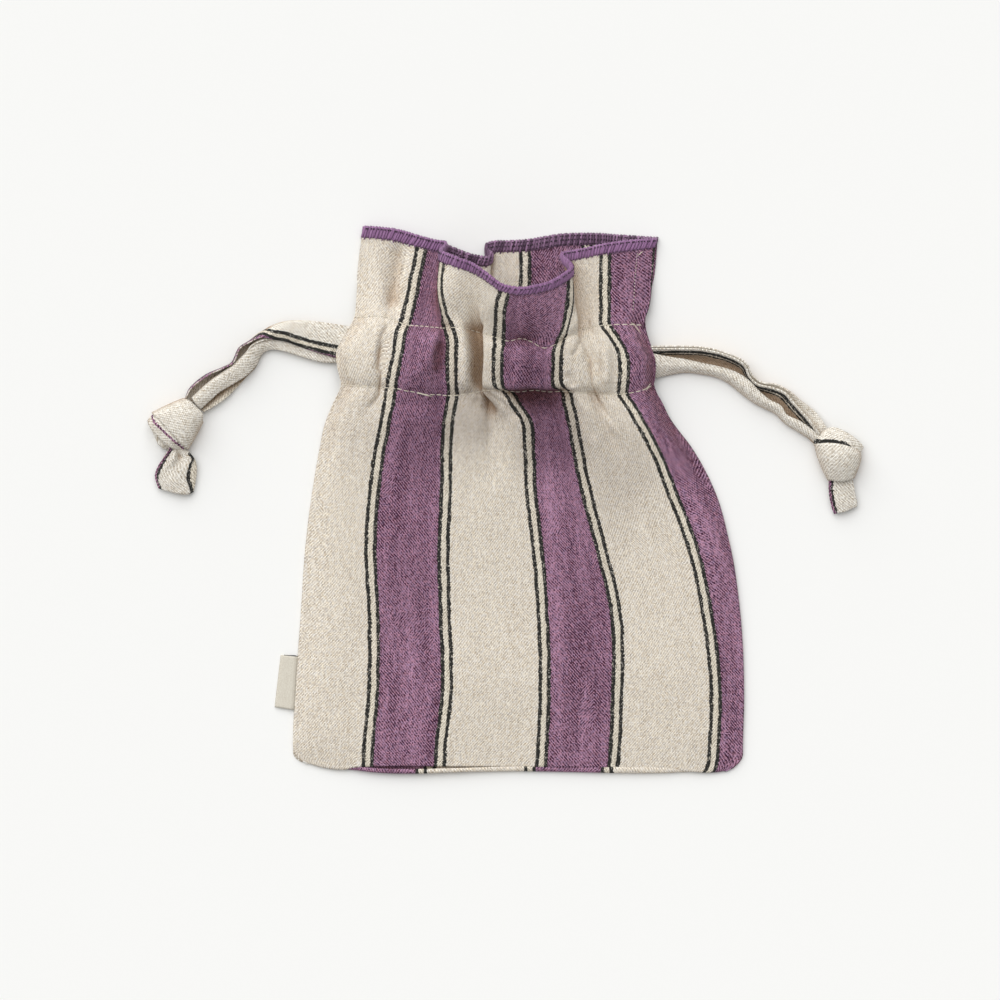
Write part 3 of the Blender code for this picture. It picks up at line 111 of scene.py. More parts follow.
# Front panel: height up the cloth in millimetres, then (place on the cloth, plan x, plan y, height)
FRONT_SECTIONS = (
    (0, ((L, 294.5, 757, 1.5), (15, 308, 763, 1.4), (25, 318, 766.2, 1.4), (35, 327, 768.2, 1.4),
      (45, 336, 769.4, 1.5), (56, 346, 769.4, 1.7), (63, 353, 767.6, 2.1), (P1, 367.5, 766.7, 2.4),
      (P2, 440, 766.3, 2.4), (P3, 541, 766.8, 2.4), (P4, 613.5, 767.4, 2.4), (365, 658, 769.3, 2.3),
      (395, 690, 771.6, 2), (P5, 712.5, 772.3, 1.7), (432, 726, 770.5, 1.5), (R, 743, 765, 1.5))),
    (8, ((L, 293.5, 745, 2), (20, 313, 745, 2.6), (P1, 368.5, 745, 3), (P2, 441, 745, 3),
      (P3, 542.5, 745, 3), (P4, 615, 745, 3), (P5, 714, 745, 3), (R, 742.5, 745, 2))),
    (24.6, ((L, 295.5, 699, 2), (20, 314, 699, 3), (P1, 372.8, 699, 3.8), (P2, 446.5, 699, 4.2),
      (P3, 544.5, 699, 4.4), (P4, 617, 699, 4.2), (P5, 715.5, 699, 3.8), (R, 743.4, 699, 2))),
    (57, ((L, 301.5, 610, 2), (25, 325, 610, 3.4), (P1, 373.6, 610, 4.8), (P2, 444.8, 610, 5.4),
      (P3, 542.5, 610, 5.6), (P4, 615.3, 610, 5.6), (P5, 706.3, 610, 5), (R, 739.5, 610, 2))),
    (80, ((L, 306, 546, 2), (25, 327, 546, 4), (50, 349, 546, 5.4), (P1, 370.5, 546, 6),
      (112, 408, 546, 6.8), (P2, 443.6, 546, 6.8), (200, 492, 546, 7.2), (P3, 537.3, 546, 7.2),
      (284, 570, 546, 7.2), (P4, 600.5, 546, 7), (365, 643, 546, 7), (P5, 692, 546, 6.4),
      (440, 717, 546, 4.6), (R, 729.5, 546, 2))),
    (100, ((L, 313, 491, 2), (25, 330, 491, 4.8), (50, 352, 491, 6.6), (P1, 374.5, 491, 7.2),
      (112, 411, 491, 8.4), (P2, 446, 491, 8.2), (200, 490, 491, 8.8), (P3, 531, 491, 9),
      (284, 560, 491, 9), (P4, 586, 491, 8.8), (350, 610, 491, 9), (372, 628, 491, 8.2), (395, 650, 491, 9),
      (P5, 671, 491, 8.2), (440, 695, 491, 5.8), (R, 714, 491, 2))),
    (115, ((L, 320, 450, 2.2), (25, 335, 450, 5.4), (50, 357, 450, 7.6), (P1, 380, 450, 8.2),
      (112, 414, 450, 9.6), (P2, 446.6, 450, 9.4), (175, 471, 450, 10), (200, 492, 450, 8.8),
      (215, 503, 450, 9.4), (232, 516, 450, 10.8), (P3, 529, 450, 10.2), (284, 556, 450, 8),
      (P4, 577.7, 450, 9.2), (340, 597, 450, 11), (362, 616, 450, 9.2), (385, 632, 450, 10.8),
      (P5, 654.6, 450, 10), (440, 675, 450, 7.4), (R, 692, 450, 2.2))),
    (126, ((L, 327.5, 419, 2.6), (30, 344, 419, 6.6), (48, 361, 419, 8.6), (60, 372, 419, 8.6),
      (P1, 386, 419, 8.8), (95, 404, 420, 10), (115, 423, 421, 10.8), (132, 438, 421, 10),
      (P2, 448.5, 421, 10.2), (165, 464, 420, 11), (180, 478, 419, 11), (198, 492, 418.5, 8.8),
      (215, 503, 418, 10.6), (228, 510, 418, 12.2), (P3, 525, 418.5, 11.4), (265, 538, 419, 7.8),
      (284, 551, 419, 6.4), (300, 562, 419, 6.8), (P4, 572.5, 419, 9.2), (333, 584, 420, 12.6),
      (350, 596, 420, 11), (362, 604, 420, 8.8), (374, 611, 420, 10.4), (390, 622, 420, 12),
      (405, 630, 420, 12), (P5, 638, 420, 11.2), (440, 655, 419.5, 8.4), (R, 668.5, 418, 2.6))),
    (131, ((L, 334.5, 402, 3.2), (30, 350, 403, 7.2), (48, 366, 403, 8.5), (57, 374.5, 403, 8.2),
      (66, 382, 404, 8.2), (P1, 389, 404, 8.8), (95, 406.5, 406, 10.2), (115, 424.5, 407.5, 10.9),
      (132, 439.5, 408, 9.9), (P2, 450.5, 408, 10.2), (163, 465, 407, 10.9), (178, 478, 405.5, 10.4),
      (190, 488, 404.5, 8.4), (199, 493.5, 404, 9.4), (207, 495, 404, 10.6), (214, 494, 404, 11.6),
      (224, 497, 404, 12.8), (P3, 515.5, 404.5, 11.6), (265, 528, 405, 7.6), (284, 543, 404.5, 6),
      (300, 555.5, 405, 6.4), (P4, 569, 405.5, 9), (332, 580, 406, 12.3), (348, 590.5, 406.5, 11),
      (361, 598, 407, 8.6), (371, 604, 407, 9.2), (385, 613, 407, 11.6), (401, 622, 407, 11.9),
      (P5, 630.5, 407, 11.1), (440, 648, 405.5, 8.9), (R, 661, 402, 3.2))),
    (136, ((L, 341.5, 384, 4.2), (30, 357, 386, 7.6), (48, 371, 387, 8.2), (56, 377.5, 387, 7.6),
      (66, 384, 387.5, 8.2), (P1, 391.5, 388, 8.8), (95, 409, 391, 10.2), (115, 426, 394, 10.8),
      (132, 441, 395, 9.6), (P2, 453, 395.5, 10), (162, 466, 394, 10.6), (175, 478, 392, 9.8),
      (188, 487, 391, 8.6), (195, 492, 391, 8.6), (200, 493.5, 391, 9.8), (208, 488.5, 390.5, 12.1),
      (214, 483, 390, 13), (222, 485.5, 390, 14), (P3, 506, 391, 11.6), (265, 518, 391.5, 8.4),
      (284, 535, 389.5, 7.2), (300, 548, 391, 7.6), (P4, 566, 391, 9.8), (330, 575, 392, 12),
      (345, 584, 393, 11), (358, 591, 393.5, 8.6), (366, 595, 394, 8.4), (378, 601, 394, 10.2),
      (395, 611, 394, 11.4), (P5, 622.5, 394, 11), (440, 640, 391, 9.5), (R, 653, 385, 4.2))),
    (139.5, ((L, 339.5, 375, 5), (30, 354, 377, 8.4), (48, 369, 378, 9.2), (56, 377, 378, 8.4),
      (66, 384, 379, 9.2), (P1, 393, 379, 9.8), (95, 410, 382, 11.8), (115, 427, 385, 12.4),
      (131, 440, 386, 10.6), (P2, 452.5, 386, 11.2), (164, 466, 385, 14), (175, 476, 384, 9.4),
      (187, 485, 383, 8.2), (198, 497, 383, 8), (203, 500, 383, 9.8), (210, 494, 384, 12.6),
      (219, 483.5, 385, 14.1), (225, 484, 385.5, 15.3), (236, 491, 386.5, 15.7), (P3, 500, 388, 14.6),
      (265, 512, 388.5, 14.8), (284, 530, 387.5, 14.4), (300, 545, 389, 13.4), (P4, 558.5, 386, 13.2),
      (330, 568, 386, 14.2), (344, 579, 386, 13.4), (358, 589, 386, 11.2), (365, 592.5, 386, 11),
      (373, 597, 386, 12), (388, 606, 386, 13), (403, 614, 386, 12.8), (P5, 623, 386, 12),
      (440, 641, 384, 10), (R, 654, 380, 5))),
    (147, ((L, 336.5, 352, 5.4), (25, 348, 352, 8.4), (45, 364, 353, 9.8), (58, 375.5, 353, 9.8),
      (63, 380, 353, 8.8), (69, 388, 354, 9.8), (P1, 398, 354, 10.4), (100, 415, 357, 13.4),
      (118, 430, 360, 14.2), (131, 440, 361, 10.8), (P2, 452, 361, 12.6), (164, 466, 360, 15.4),
      (174, 475, 359, 9.6), (185, 483.5, 358, 7.6), (199, 498, 358, 7.4), (204, 501, 358.5, 9.4),
      (211, 495, 359, 12.2), (221, 484.5, 360, 14.2), (226, 484.5, 360.5, 15.6), (236, 491, 362, 16.2),
      (P3, 497.5, 363, 15.2), (265, 510, 364, 15.8), (284, 528, 364, 15.4), (300, 543, 366, 13.8),
      (P4, 557, 364, 13.6), (330, 566, 361, 15), (343, 577, 359, 14.4), (358, 588, 358, 11.6),
      (364, 591.5, 358, 11.2), (372, 596, 358, 12.4), (388, 605, 358, 14.4), (403, 613, 358, 13.6),
      (P5, 623.5, 358, 12.4), (440, 642, 359, 11), (R, 654.5, 362, 5.4))),
    (155, ((L, 348.5, 328, 5), (30, 366, 327, 8.4), (45, 377, 327, 9.2), (57, 386.5, 328, 8.6),
      (66, 394, 330, 9.4), (P1, 401.5, 332, 10), (102, 421, 335, 12.8), (120, 433.5, 337, 13),
      (131, 441, 338, 10.8), (P2, 452, 338, 12.8), (162, 463.5, 338, 15.4), (173, 472, 339, 10.4),
      (185, 480.5, 340, 8.2), (197, 492, 341, 8), (202, 494.5, 341, 9.8), (209, 489, 342, 12.4),
      (218, 484, 343, 14.4), (225, 485, 343.5, 15.8), (236, 491.5, 345, 16.2), (P3, 498.5, 347, 15.4),
      (264, 509.5, 348.5, 15.4), (280, 524, 347.5, 14.8), (298, 541, 352, 13.8), (P4, 558, 350, 14.2),
      (330, 567.5, 346, 15.6), (342, 577.5, 343, 14.8), (354, 581, 341.5, 12), (363, 584.5, 340, 10.8),
      (373, 591.5, 339, 11.4), (388, 601, 337.5, 13), (402, 606, 337, 13), (P5, 613, 337, 12.2),
      (440, 632, 338, 10.8), (R, 648.5, 342, 5))),
    (158.5, ((L, 354.5, 318, 4.6), (40, 378, 317, 7.6), (57, 390, 319, 7), (P1, 404.5, 325, 8.4),
      (105, 424, 327, 10.6), (130, 440.5, 328.5, 9.8), (P2, 449, 328, 12), (161, 460.5, 328, 15.2),
      (172, 469.5, 330, 11), (184, 477.5, 332, 8.6), (195, 488, 333, 8.4), (200, 491, 333, 10),
      (208, 486, 334, 12.6), (215, 483.5, 334, 14), (224, 486, 335, 15.2), (236, 492, 337, 15.2),
      (P3, 499, 339, 14.4), (262, 509, 341.5, 13.8), (275, 520, 339, 13), (290, 531, 342, 12.6),
      (305, 545, 348.5, 12.8), (P4, 560, 342, 14), (330, 569, 337, 15), (342, 577, 334, 14),
      (352, 576, 333, 12.2), (362, 578, 331, 10.6), (374, 588, 329, 9.6), (388, 595, 327, 10.6),
      (400, 598, 326.5, 11.4), (P5, 605.5, 326, 10.6), (440, 625, 325, 9), (R, 644, 325, 4.6))),
    (163, ((L, 356, 306, 3.6), (40, 380, 306, 6), (57, 392.5, 308, 4.6), (P1, 408.5, 313, 7.4),
      (100, 423, 315, 9.2), (118, 434.5, 316, 9.2), (130, 439, 317, 9.6), (P2, 445.5, 318, 13),
      (160, 455, 319, 14.6), (172, 467, 321, 13.2), (184, 475, 322, 11.6), (194, 482, 323, 12.4),
      (203, 483, 324, 14.4), (215, 485, 325, 15.6), (232, 493, 328, 16.8), (P3, 499.5, 330, 16.6),
      (265, 511, 333, 16.2), (284, 530, 334, 15.6), (300, 547, 336, 15.8), (P4, 563.5, 333, 16.6),
      (330, 571, 328, 16.8), (342, 577, 324, 15.2), (352, 577, 322, 12), (362, 578.5, 320, 10.2),
      (376, 586, 317, 8), (392, 595, 315, 8.6), (P5, 605, 314, 8.2), (440, 627, 313, 6.8),
      (R, 649, 308, 3.6))),
    (174.5, ((L, 358.5, 270, 2), (40, 379, 272, 3.8), (57, 395, 275, 2.4), (P1, 415.5, 279, 4.4),
      (95, 430, 282, 4.8), (108, 437, 284, 5.2), (120, 440, 286, 7), (133, 438.5, 289, 10.2),
      (P2, 439.5, 292, 14.4), (162, 450, 294, 17.8), (178, 465, 297, 17), (191, 475, 299, 16.4),
      (204, 484, 302, 19.4), (222, 491, 306, 21.6), (P3, 500.5, 310.5, 22.2), (265, 513, 314, 22.8),
      (284, 532, 315, 22.6), (300, 550, 313, 21.8), (P4, 570, 305.5, 18), (330, 574, 301, 14.6),
      (342, 573.5, 297, 11.6), (354, 571.5, 293, 9.4), (366, 572, 290, 7.6), (380, 582, 287, 5.2),
      (400, 594, 284, 4.8), (P5, 605, 283, 4.4), (440, 628, 281, 3.8), (R, 653, 274, 2))),
    (190.5, ((L, 363.5, 226, 2), (40, 380, 227, 3.2), (55, 397, 229, 2.8), (P1, 424, 237, 3.4),
      (92, 437, 240, 3.6), (104, 446, 241.5, 4.8), (114, 445.5, 244, 7.6), (128, 441.5, 248, 11.6),
      (P2, 443, 252, 15.8), (160, 450, 255, 18.4), (175, 461, 259.5, 20), (190, 473, 264, 20.6),
      (205, 484.5, 272, 23.4), (222, 495, 280.5, 25), (P3, 506.5, 286.5, 26.8), (265, 520, 288.5, 27.6),
      (284, 536, 286.2, 27.6), (300, 551.5, 281.5, 26), (P4, 571, 267.5, 19.4), (328, 570.5, 263.5, 15),
      (340, 567.5, 260, 10.8), (352, 562.5, 255.5, 7.6), (360, 561, 253, 6.4), (375, 572, 250.5, 4.4),
      (395, 588, 247.5, 3.8), (P5, 605, 243.5, 3.4), (440, 630, 240, 3), (R, 656.5, 238.5, 2))),
)

# Back panel, seen through the pouch from the front; its first rows roll up round the bottom edge
BACK_SECTIONS = (
    (-4, ((L, 300, 757, 1.2), (25, 319, 761, 1.2), (B1, 343, 764.5, 1.5), (68, 357, 766.4, 2.2),
      (B3, 530, 766.4, 2.2), (380, 676, 767.3, 2), (400, 694, 767.4, 1.6), (R, 737, 761, 1.2))),
    (-2.9, ((L, 299, 759, 1.2), (25, 319, 763.5, 1.2), (B1, 343, 767, 1.5), (68, 357, 769.6, 2.2),
      (B3, 530, 769.3, 2.35), (380, 676, 770.4, 2.1), (400, 694, 769.9, 1.7), (R, 738, 763.5, 1.2))),
    (-2, ((L, 298, 760, 1), (25, 318, 764.4, 1), (B1, 343, 768, 1.2), (68, 357, 769.5, 1.7),
      (B3, 530, 770.4, 1.8), (380, 676, 771.6, 1.7), (400, 694, 770.6, 1.3), (R, 739, 764.5, 1))),
    (-1.2, ((L, 297, 760.5, 0.7), (25, 318, 764.6, 0.8), (B1, 343, 768.2, 0.8), (68, 357, 769.7, 1),
      (B3, 530, 770.6, 1), (380, 676, 771.8, 1), (400, 694, 771, 0.9), (R, 740, 765, 0.7))),
    (-0.4, ((L, 296, 760.5, 0.48), (25, 318, 764.2, 0.48), (B1, 343, 767.6, 0.48), (68, 357, 769, 0.48),
      (B3, 530, 769.6, 0.48), (380, 676, 770.6, 0.48), (400, 694, 770, 0.48), (R, 741, 765, 0.48))),
    (0.8, ((L, 294.5, 759.5, 0.33), (25, 318, 763, 0.33), (B1, 345, 766, 0.33), (B3, 530, 768, 0.33),
      (B5, 702, 768.3, 0.33), (R, 742.5, 764, 0.33))),
    (2.4, ((L, 293.8, 757.5, 0.3), (B1, 345, 762, 0.3), (B3, 530, 763, 0.3), (B5, 702, 763, 0.3),
      (R, 742.8, 760.5, 0.3))),
    (8, ((L, 293.5, 745, 0.3), (B1, 345, 745, 0.3), (B3, 530, 745, 0.3), (B5, 702, 745, 0.3),
      (R, 742.5, 745, 0.3))),
    (57, ((L, 301.5, 610, 0.3), (B1, 346, 610, 0.3), (B2, 430, 610, 0.3), (B3, 531, 610, 0.3),
      (B4, 604, 610, 0.3), (B5, 699, 610, 0.3), (R, 739.5, 610, 0.3))),
    (80, ((L, 306, 546, 0.3), (B1, 347, 546, 0.3), (B2, 431, 546, 0.3), (B3, 530, 546, 0.3),
      (B4, 600, 546, 0.3), (B5, 689, 546, 0.3), (R, 729.5, 546, 0.3))),
    (100, ((L, 313, 491, 0.3), (B1, 352, 491, 0.3), (B2, 433, 491, 0.3), (B3, 526, 491, 0.3),
      (B4, 592, 491, 0.3), (B5, 675, 491, 0.3), (R, 714, 491, 0.3))),
    (115, ((L, 320, 450, 0.3), (B1, 360, 450, 0.3), (B2, 433, 450, 0.3), (B3, 522, 450, 0.3),
      (B4, 586, 450, 0.3), (B5, 660, 450, 0.3), (R, 692, 450, 0.3))),
    (126, ((L, 327.5, 419, 0.3), (B1, 366, 419, 0.3), (B2, 437, 420, 0.3), (B3, 519, 420, 0.3),
      (B4, 579, 420, 0.3), (B5, 642, 419, 0.3), (R, 668.5, 418, 0.3))),
    (136, ((L, 341.5, 384, 0.3), (B1, 375, 387, 0.3), (B2, 440, 391, 0.3), (B3, 515, 392, 0.3),
      (B4, 572, 392, 0.3), (B5, 628, 391, 0.3), (R, 653, 385, 0.3))),
    (147, ((L, 336.5, 352, 0.3), (B1, 372, 353, 0.3), (B2, 440, 356, 0.3), (B3, 515, 357, 0.3),
      (B4, 570, 357, 0.3), (B5, 630, 358, 0.3), (R, 654.5, 362, 0.3))),
    (158.5, ((L, 354.5, 318, 0.3), (B1, 390, 322, 0.3), (B2, 445, 325, 0.3), (B3, 520, 328, 0.3),
      (B4, 575, 328, 0.3), (B5, 625, 326, 0.3), (R, 644, 325, 0.3))),
    (174.5, ((L, 358.5, 270, 0.4), (70, 396, 275, 0.4), (115, 444, 284, 0.8), (146, 470, 291, 1.8),
      (163, 484, 293, 2.6), (172, 487.5, 290, 2.3), (181, 486.5, 287, 1.5), (192, 489, 285, 0.9),
      (214, 505, 284, 0.6), (B3, 525, 283.5, 0.6), (274, 560, 280, 0.6), (B4, 588, 278, 0.6),
      (370, 613, 278, 0.6), (B5, 632, 277, 0.5), (R, 653, 274, 0.4))),
    (190.5, ((L, 363.5, 227.5, 0.7), (70, 400, 232, 0.7), (115, 447, 245, 1.2), (146, 475, 255, 3.2),
      (163, 489.5, 256, 4.6), (170, 492, 252.5, 4.2), (179, 487, 247.5, 2.8), (188, 487, 243, 1.6),
      (196, 492.5, 241, 0.9), (214, 507, 240.5, 0.7), (B3, 525, 239.5, 0.7), (274, 559, 234, 0.7),
      (B4, 586, 233, 0.7), (370, 615, 234.5, 0.7), (B5, 635, 236, 0.7), (R, 656, 237.5, 0.7))),
)

# Folds that the gathering presses into the back panel: middle of each on the cloth, and half its width there
BACK_FOLDS = ((38, 15), (92, 18), (150, 16), (205, 18), (262, 16), (330, 20), (392, 17))
BACK_FOLD_RISE = 1.2
BACK_FOLD_GROWTH = ((90.0, 0.0), (126.0, 0.9), (136.0, 1.0), (147.0, 0.8), (158.5, 1.0), (168.0, 0.6),
    (190.5, 0.2))

# The free drawstrings: for each cut, (plan x, plan y, height) from one edge of the tape to the other
LEFT_OVER_CUTS = (
    ((341, 359.5, 2.6), (346, 346, 3.1), (353, 331, 2.6), (353, 328.5, 2.2), (347, 344, 2), (341, 358, 1.9)),
    ((322, 354, 2.6), (322, 340, 3.5), (322, 326, 3.2), (322, 323.5, 2.4), (322, 338, 2), (322, 354, 1.9)),
    ((302, 347.5, 2.7), (303, 335, 3.8), (303, 324, 3.2), (303, 321.5, 2.3), (303, 335, 2), (302, 348, 2)),
    ((285.5, 341.5, 3), (286, 332, 4), (286, 324.5, 3.3), (286, 322, 2.2), (286, 332, 2), (286, 342, 2.2)),
    ((273, 339.5, 3.8), (272.5, 333.5, 4.4), (271, 329, 3.4), (270, 327, 2), (271, 332, 1.5),
     (273, 340.5, 2.6)),
    ((262, 337.5, 5.2), (261, 334.5, 4.2), (259.5, 333, 2.6), (260, 335, 1), (262, 338, 2),
     (263.5, 340.5, 4.6)),
    ((250, 342.5, 6.2), (249.2, 341.5, 4.2), (249, 342, 2.2), (250, 344.5, 0.7), (251.5, 346, 2.6),
     (252, 345.8, 5.6)),
    ((240, 349, 6.4), (239, 348.5, 4.2), (239.3, 349.5, 2), (242, 353, 0.7), (245.5, 354.5, 2.6),
     (246.5, 353.5, 5)),
    ((234, 362.5, 5.8), (232.5, 362, 4), (232.5, 363, 2), (234.5, 365, 0.7), (236.5, 366, 2.6),
     (237, 365.5, 4.8)),
    ((223.5, 368.5, 5.6), (222.3, 368, 3.6), (223, 369.5, 1.6), (227, 373, 0.6), (230.5, 374, 2.4),
     (231.5, 372.8, 4.6)),
    ((207.5, 376, 5.4), (206, 375, 3.4), (207, 377, 1.4), (211, 381, 0.6), (213.5, 383, 2.2),
     (214, 383, 4.2)),
    ((192, 388, 5.2), (190.8, 387.5, 3.2), (192, 389.5, 1.3), (196, 393, 0.6), (199, 395, 2),
     (200, 395.5, 4)),
    ((186, 398.5, 4.8), (185.5, 399, 3), (187, 400, 1.5), (190, 402, 1), (192, 402.5, 2.4),
     (193, 402.5, 3.8)),
)
LEFT_UNDER_CUTS = (
    ((342, 363, 1.9), (346, 348, 1.9), (352, 335, 1.6), (352, 332, 1.1), (346, 346, 0.7), (342, 361, 0.6)),
    ((322, 362.5, 1.7), (322, 346, 1.9), (322, 332, 1.5), (322, 329, 0.9), (322, 345, 0.5), (322, 361, 0.5)),
    ((301.5, 357, 1.8), (302, 343, 2), (302, 330, 1.5), (302, 327, 0.9), (302, 342, 0.5), (302, 356, 0.5)),
    ((285.5, 351.8, 2), (286, 342, 2.2), (286, 332, 1.6), (286, 329, 0.9), (286, 340, 0.5), (286, 350, 0.5)),
    ((271.5, 349.5, 1.8), (270, 344.5, 2.8), (268, 338, 2.4), (267, 336, 1.2), (269, 342, 0.6),
     (271, 348, 0.6)),
    ((262, 354, 2), (259, 349, 4.2), (255, 344.5, 4.6), (253.5, 343.5, 2.6), (256, 348, 0.7),
     (262, 354, 0.6)),
    ((256, 365.5, 2.4), (251.5, 360.5, 4.6), (247, 354.5, 5.2), (245.5, 353.5, 3), (249, 359.5, 0.8),
     (256, 367, 0.6)),
    ((246.5, 375.5, 3.2), (241, 370.5, 4.9), (236.5, 364.5, 5.2), (235.2, 363.8, 3), (240, 370, 0.8),
     (247, 376.5, 0.8)),
    ((235, 383, 3.6), (230.5, 377.5, 4.9), (227, 371.8, 5), (226, 371, 2.8), (232, 380, 0.8),
     (238.5, 385.5, 1.4)),
    ((220.5, 391.5, 3.6), (217, 386.5, 4.8), (214, 380.5, 4.9), (213, 380, 2.6), (220, 389, 0.8),
     (227.5, 397, 2.2)),
    ((209.5, 401, 3.4), (206, 396.5, 4.8), (202.5, 390.5, 4.8), (201.5, 390, 2.6), (209, 400, 0.9),
     (214.5, 406, 2.6)),
    ((200.5, 409.5, 3.2), (196, 404.5, 4.6), (193, 399.5, 4.6), (192, 399, 2.6), (199, 407.5, 1.2),
     (204, 412, 2.4)),
)
RIGHT_OVER_CUTS = (
    ((648, 348.5, 4), (648, 352, 3.2), (648, 356, 2.2), (648, 364, 1.6), (648, 357, 1), (648, 350, 2),
     (648, 346.5, 3.6)),
    ((668, 348.6, 5.2), (668, 352, 3.4), (668, 355.5, 1.7), (668, 364, 1.1), (668, 356, 0.5),
     (668, 350, 2.6), (668, 346.2, 5)),
    ((685, 348.6, 6.4), (685, 352.8, 3.9), (685, 357, 1.4), (685, 365.5, 1), (685, 357, 0.45),
     (685, 350.5, 3.2), (685, 346.4, 6.2)),
    ((701, 349.4, 6.8), (701, 354.2, 3.9), (701, 359, 1.2), (700.5, 367.5, 0.9), (701, 358.5, 0.45),
     (701, 351.5, 3.3), (701, 347.2, 6.6)),
    ((717.2, 352.4, 6.8), (716.6, 357.2, 3.8), (716, 362.5, 1.1), (715, 371, 0.9), (716, 361.5, 0.45),
     (716.8, 354.4, 3.3), (717.6, 350.4, 6.6)),
    ((733.6, 358, 6.6), (732, 362, 3.8), (730.5, 366.5, 1.2), (728, 375, 0.9), (730.5, 366, 0.45),
     (732.6, 360, 3.2), (734.6, 356.2, 6.4)),
    ((745, 365.6, 6.2), (742.6, 368, 3.8), (740, 371.5, 1.4), (737, 380, 0.9), (740, 371.5, 0.45),
     (743, 367, 3), (746.6, 364, 6)),
    ((749.4, 376.4, 5.6), (748, 377.4, 3.8), (746.6, 379, 1.6), (743.5, 386, 0.9), (746.5, 379.5, 0.45),
     (748.6, 377, 2.8), (751.4, 374, 5.2)),
    ((758, 384.2, 5.4), (756.6, 386.2, 3.6), (755, 388.5, 1.4), (751.5, 394, 0.8), (755, 388, 0.45),
     (758.4, 384, 2.4), (761.6, 382.4, 4.6)),
    ((772.6, 387.8, 5.6), (770.8, 391, 3.4), (768.5, 395.5, 1.2), (764, 402, 0.8), (768.5, 395, 0.45),
     (773, 388, 2.2), (776, 384.4, 4)),
    ((785.4, 393.2, 5.8), (782.4, 397, 3.5), (778.5, 402, 1.2), (773, 408, 0.8), (779, 401.5, 0.45),
     (786, 394, 2), (789.4, 391.4, 3.4)),
    ((795.6, 405.2, 5.8), (792.4, 408, 3.6), (788, 412, 1.3), (781, 418, 0.8), (788.5, 411, 0.45),
     (796.5, 404.5, 1.8), (801, 401, 2.6)),
    ((807.4, 417.8, 5.6), (804.6, 420, 3.8), (800.5, 423, 1.6), (793, 427, 0.9), (801, 421.5, 0.5),
     (809.5, 416.5, 1.6), (815, 411.5, 2)),
    ((817.6, 431.4, 5.2), (815.6, 433, 4), (812.5, 435, 2.4), (807, 437, 1.4), (813, 434, 0.9),
     (820.5, 429.5, 2.2), (826, 426.5, 2.8)),
    ((823.5, 438.5, 4.2), (821.5, 440.5, 3.4), (819, 442.5, 2.2), (815.5, 444.5, 1.4), (819.5, 441.5, 0.9),
     (825.5, 436.5, 1.9), (829.5, 433, 2.2)),
)
RIGHT_UNDER_CUTS = (
    ((648, 352.5, 4.2), (648, 365, 4), (648, 376.5, 2.4), (648, 378.5, 1.6), (648, 366, 2.6), (648, 355, 3)),
    ((668, 356.5, 3.9), (668, 366, 3.9), (668, 372.8, 2.2), (668, 374.5, 1.2), (668, 366, 2.3),
     (668, 358, 2.8)),
    ((685, 359.2, 3.6), (685, 366, 3.9), (685, 370.8, 2.2), (685, 372, 1), (685, 366, 2.2), (685, 361, 2.6)),
    ((702.5, 363, 3.4), (702, 368.5, 3.8), (701, 372.6, 2.2), (701, 373.6, 1), (702, 368.5, 2.1),
     (702.5, 364.5, 2.4)),
    ((719, 366.6, 3.4), (717.6, 371.8, 3.9), (716, 375.6, 2.2), (715.6, 376.6, 1), (717.5, 372, 2.1),
     (719, 368, 2.4)),
    ((732.5, 370.6, 3.6), (729.6, 376.6, 4.2), (727.4, 380.6, 2.3), (726.6, 381.6, 1), (729.6, 376.6, 2.1),
     (732.5, 372.2, 2.4)),
    ((744, 376.6, 3.9), (739.8, 383, 4.4), (736.6, 387.4, 2.4), (735.8, 388.4, 1), (740, 383, 2.1),
     (744, 378.4, 2.5)),
    ((751.5, 382.8, 4.2), (748.2, 389.6, 4.6), (745.6, 394.6, 2.6), (744.8, 395.6, 1), (748.4, 389.6, 2.1),
     (751.5, 384.6, 2.6)),
    ((759.5, 391.4, 4), (757, 397, 4.4), (754.8, 401.4, 2.6), (754, 402.4, 1), (757.2, 397, 2),
     (759.5, 393, 2.5)),
    ((769, 399.4, 3.8), (767, 403.6, 4.2), (765.2, 407, 2.6), (764.4, 408, 1), (767, 403.6, 2),
     (769, 401, 2.4)),
    ((780.5, 405.6, 3.6), (778.5, 409.4, 4), (776.6, 412.8, 2.6), (776, 413.8, 1), (778.6, 409.6, 2),
     (780.5, 407, 2.3)),
    ((787, 415, 3.6), (786.4, 418.6, 3.9), (785.4, 422, 2.6), (785, 423, 1), (786.4, 418.8, 2),
     (787.2, 416.4, 2.3)),
    ((800.5, 421.4, 3.8), (798.6, 425.4, 4), (796.8, 428.8, 2.8), (796.2, 430, 1.2), (798.8, 425.6, 2.2),
     (800.5, 423, 2.6)),
    ((816, 433, 4.2), (813.4, 436, 4.2), (811.6, 438.2, 3), (811, 439.4, 1.6), (813.4, 436.4, 2.6),
     (816, 434.4, 3.2)),
    ((822.5, 440.5, 3.4), (820.4, 443, 3.4), (818.8, 445, 2.6), (818.2, 446, 1.4), (820.4, 443.4, 2.2),
     (822.5, 441.6, 2.6)),
)

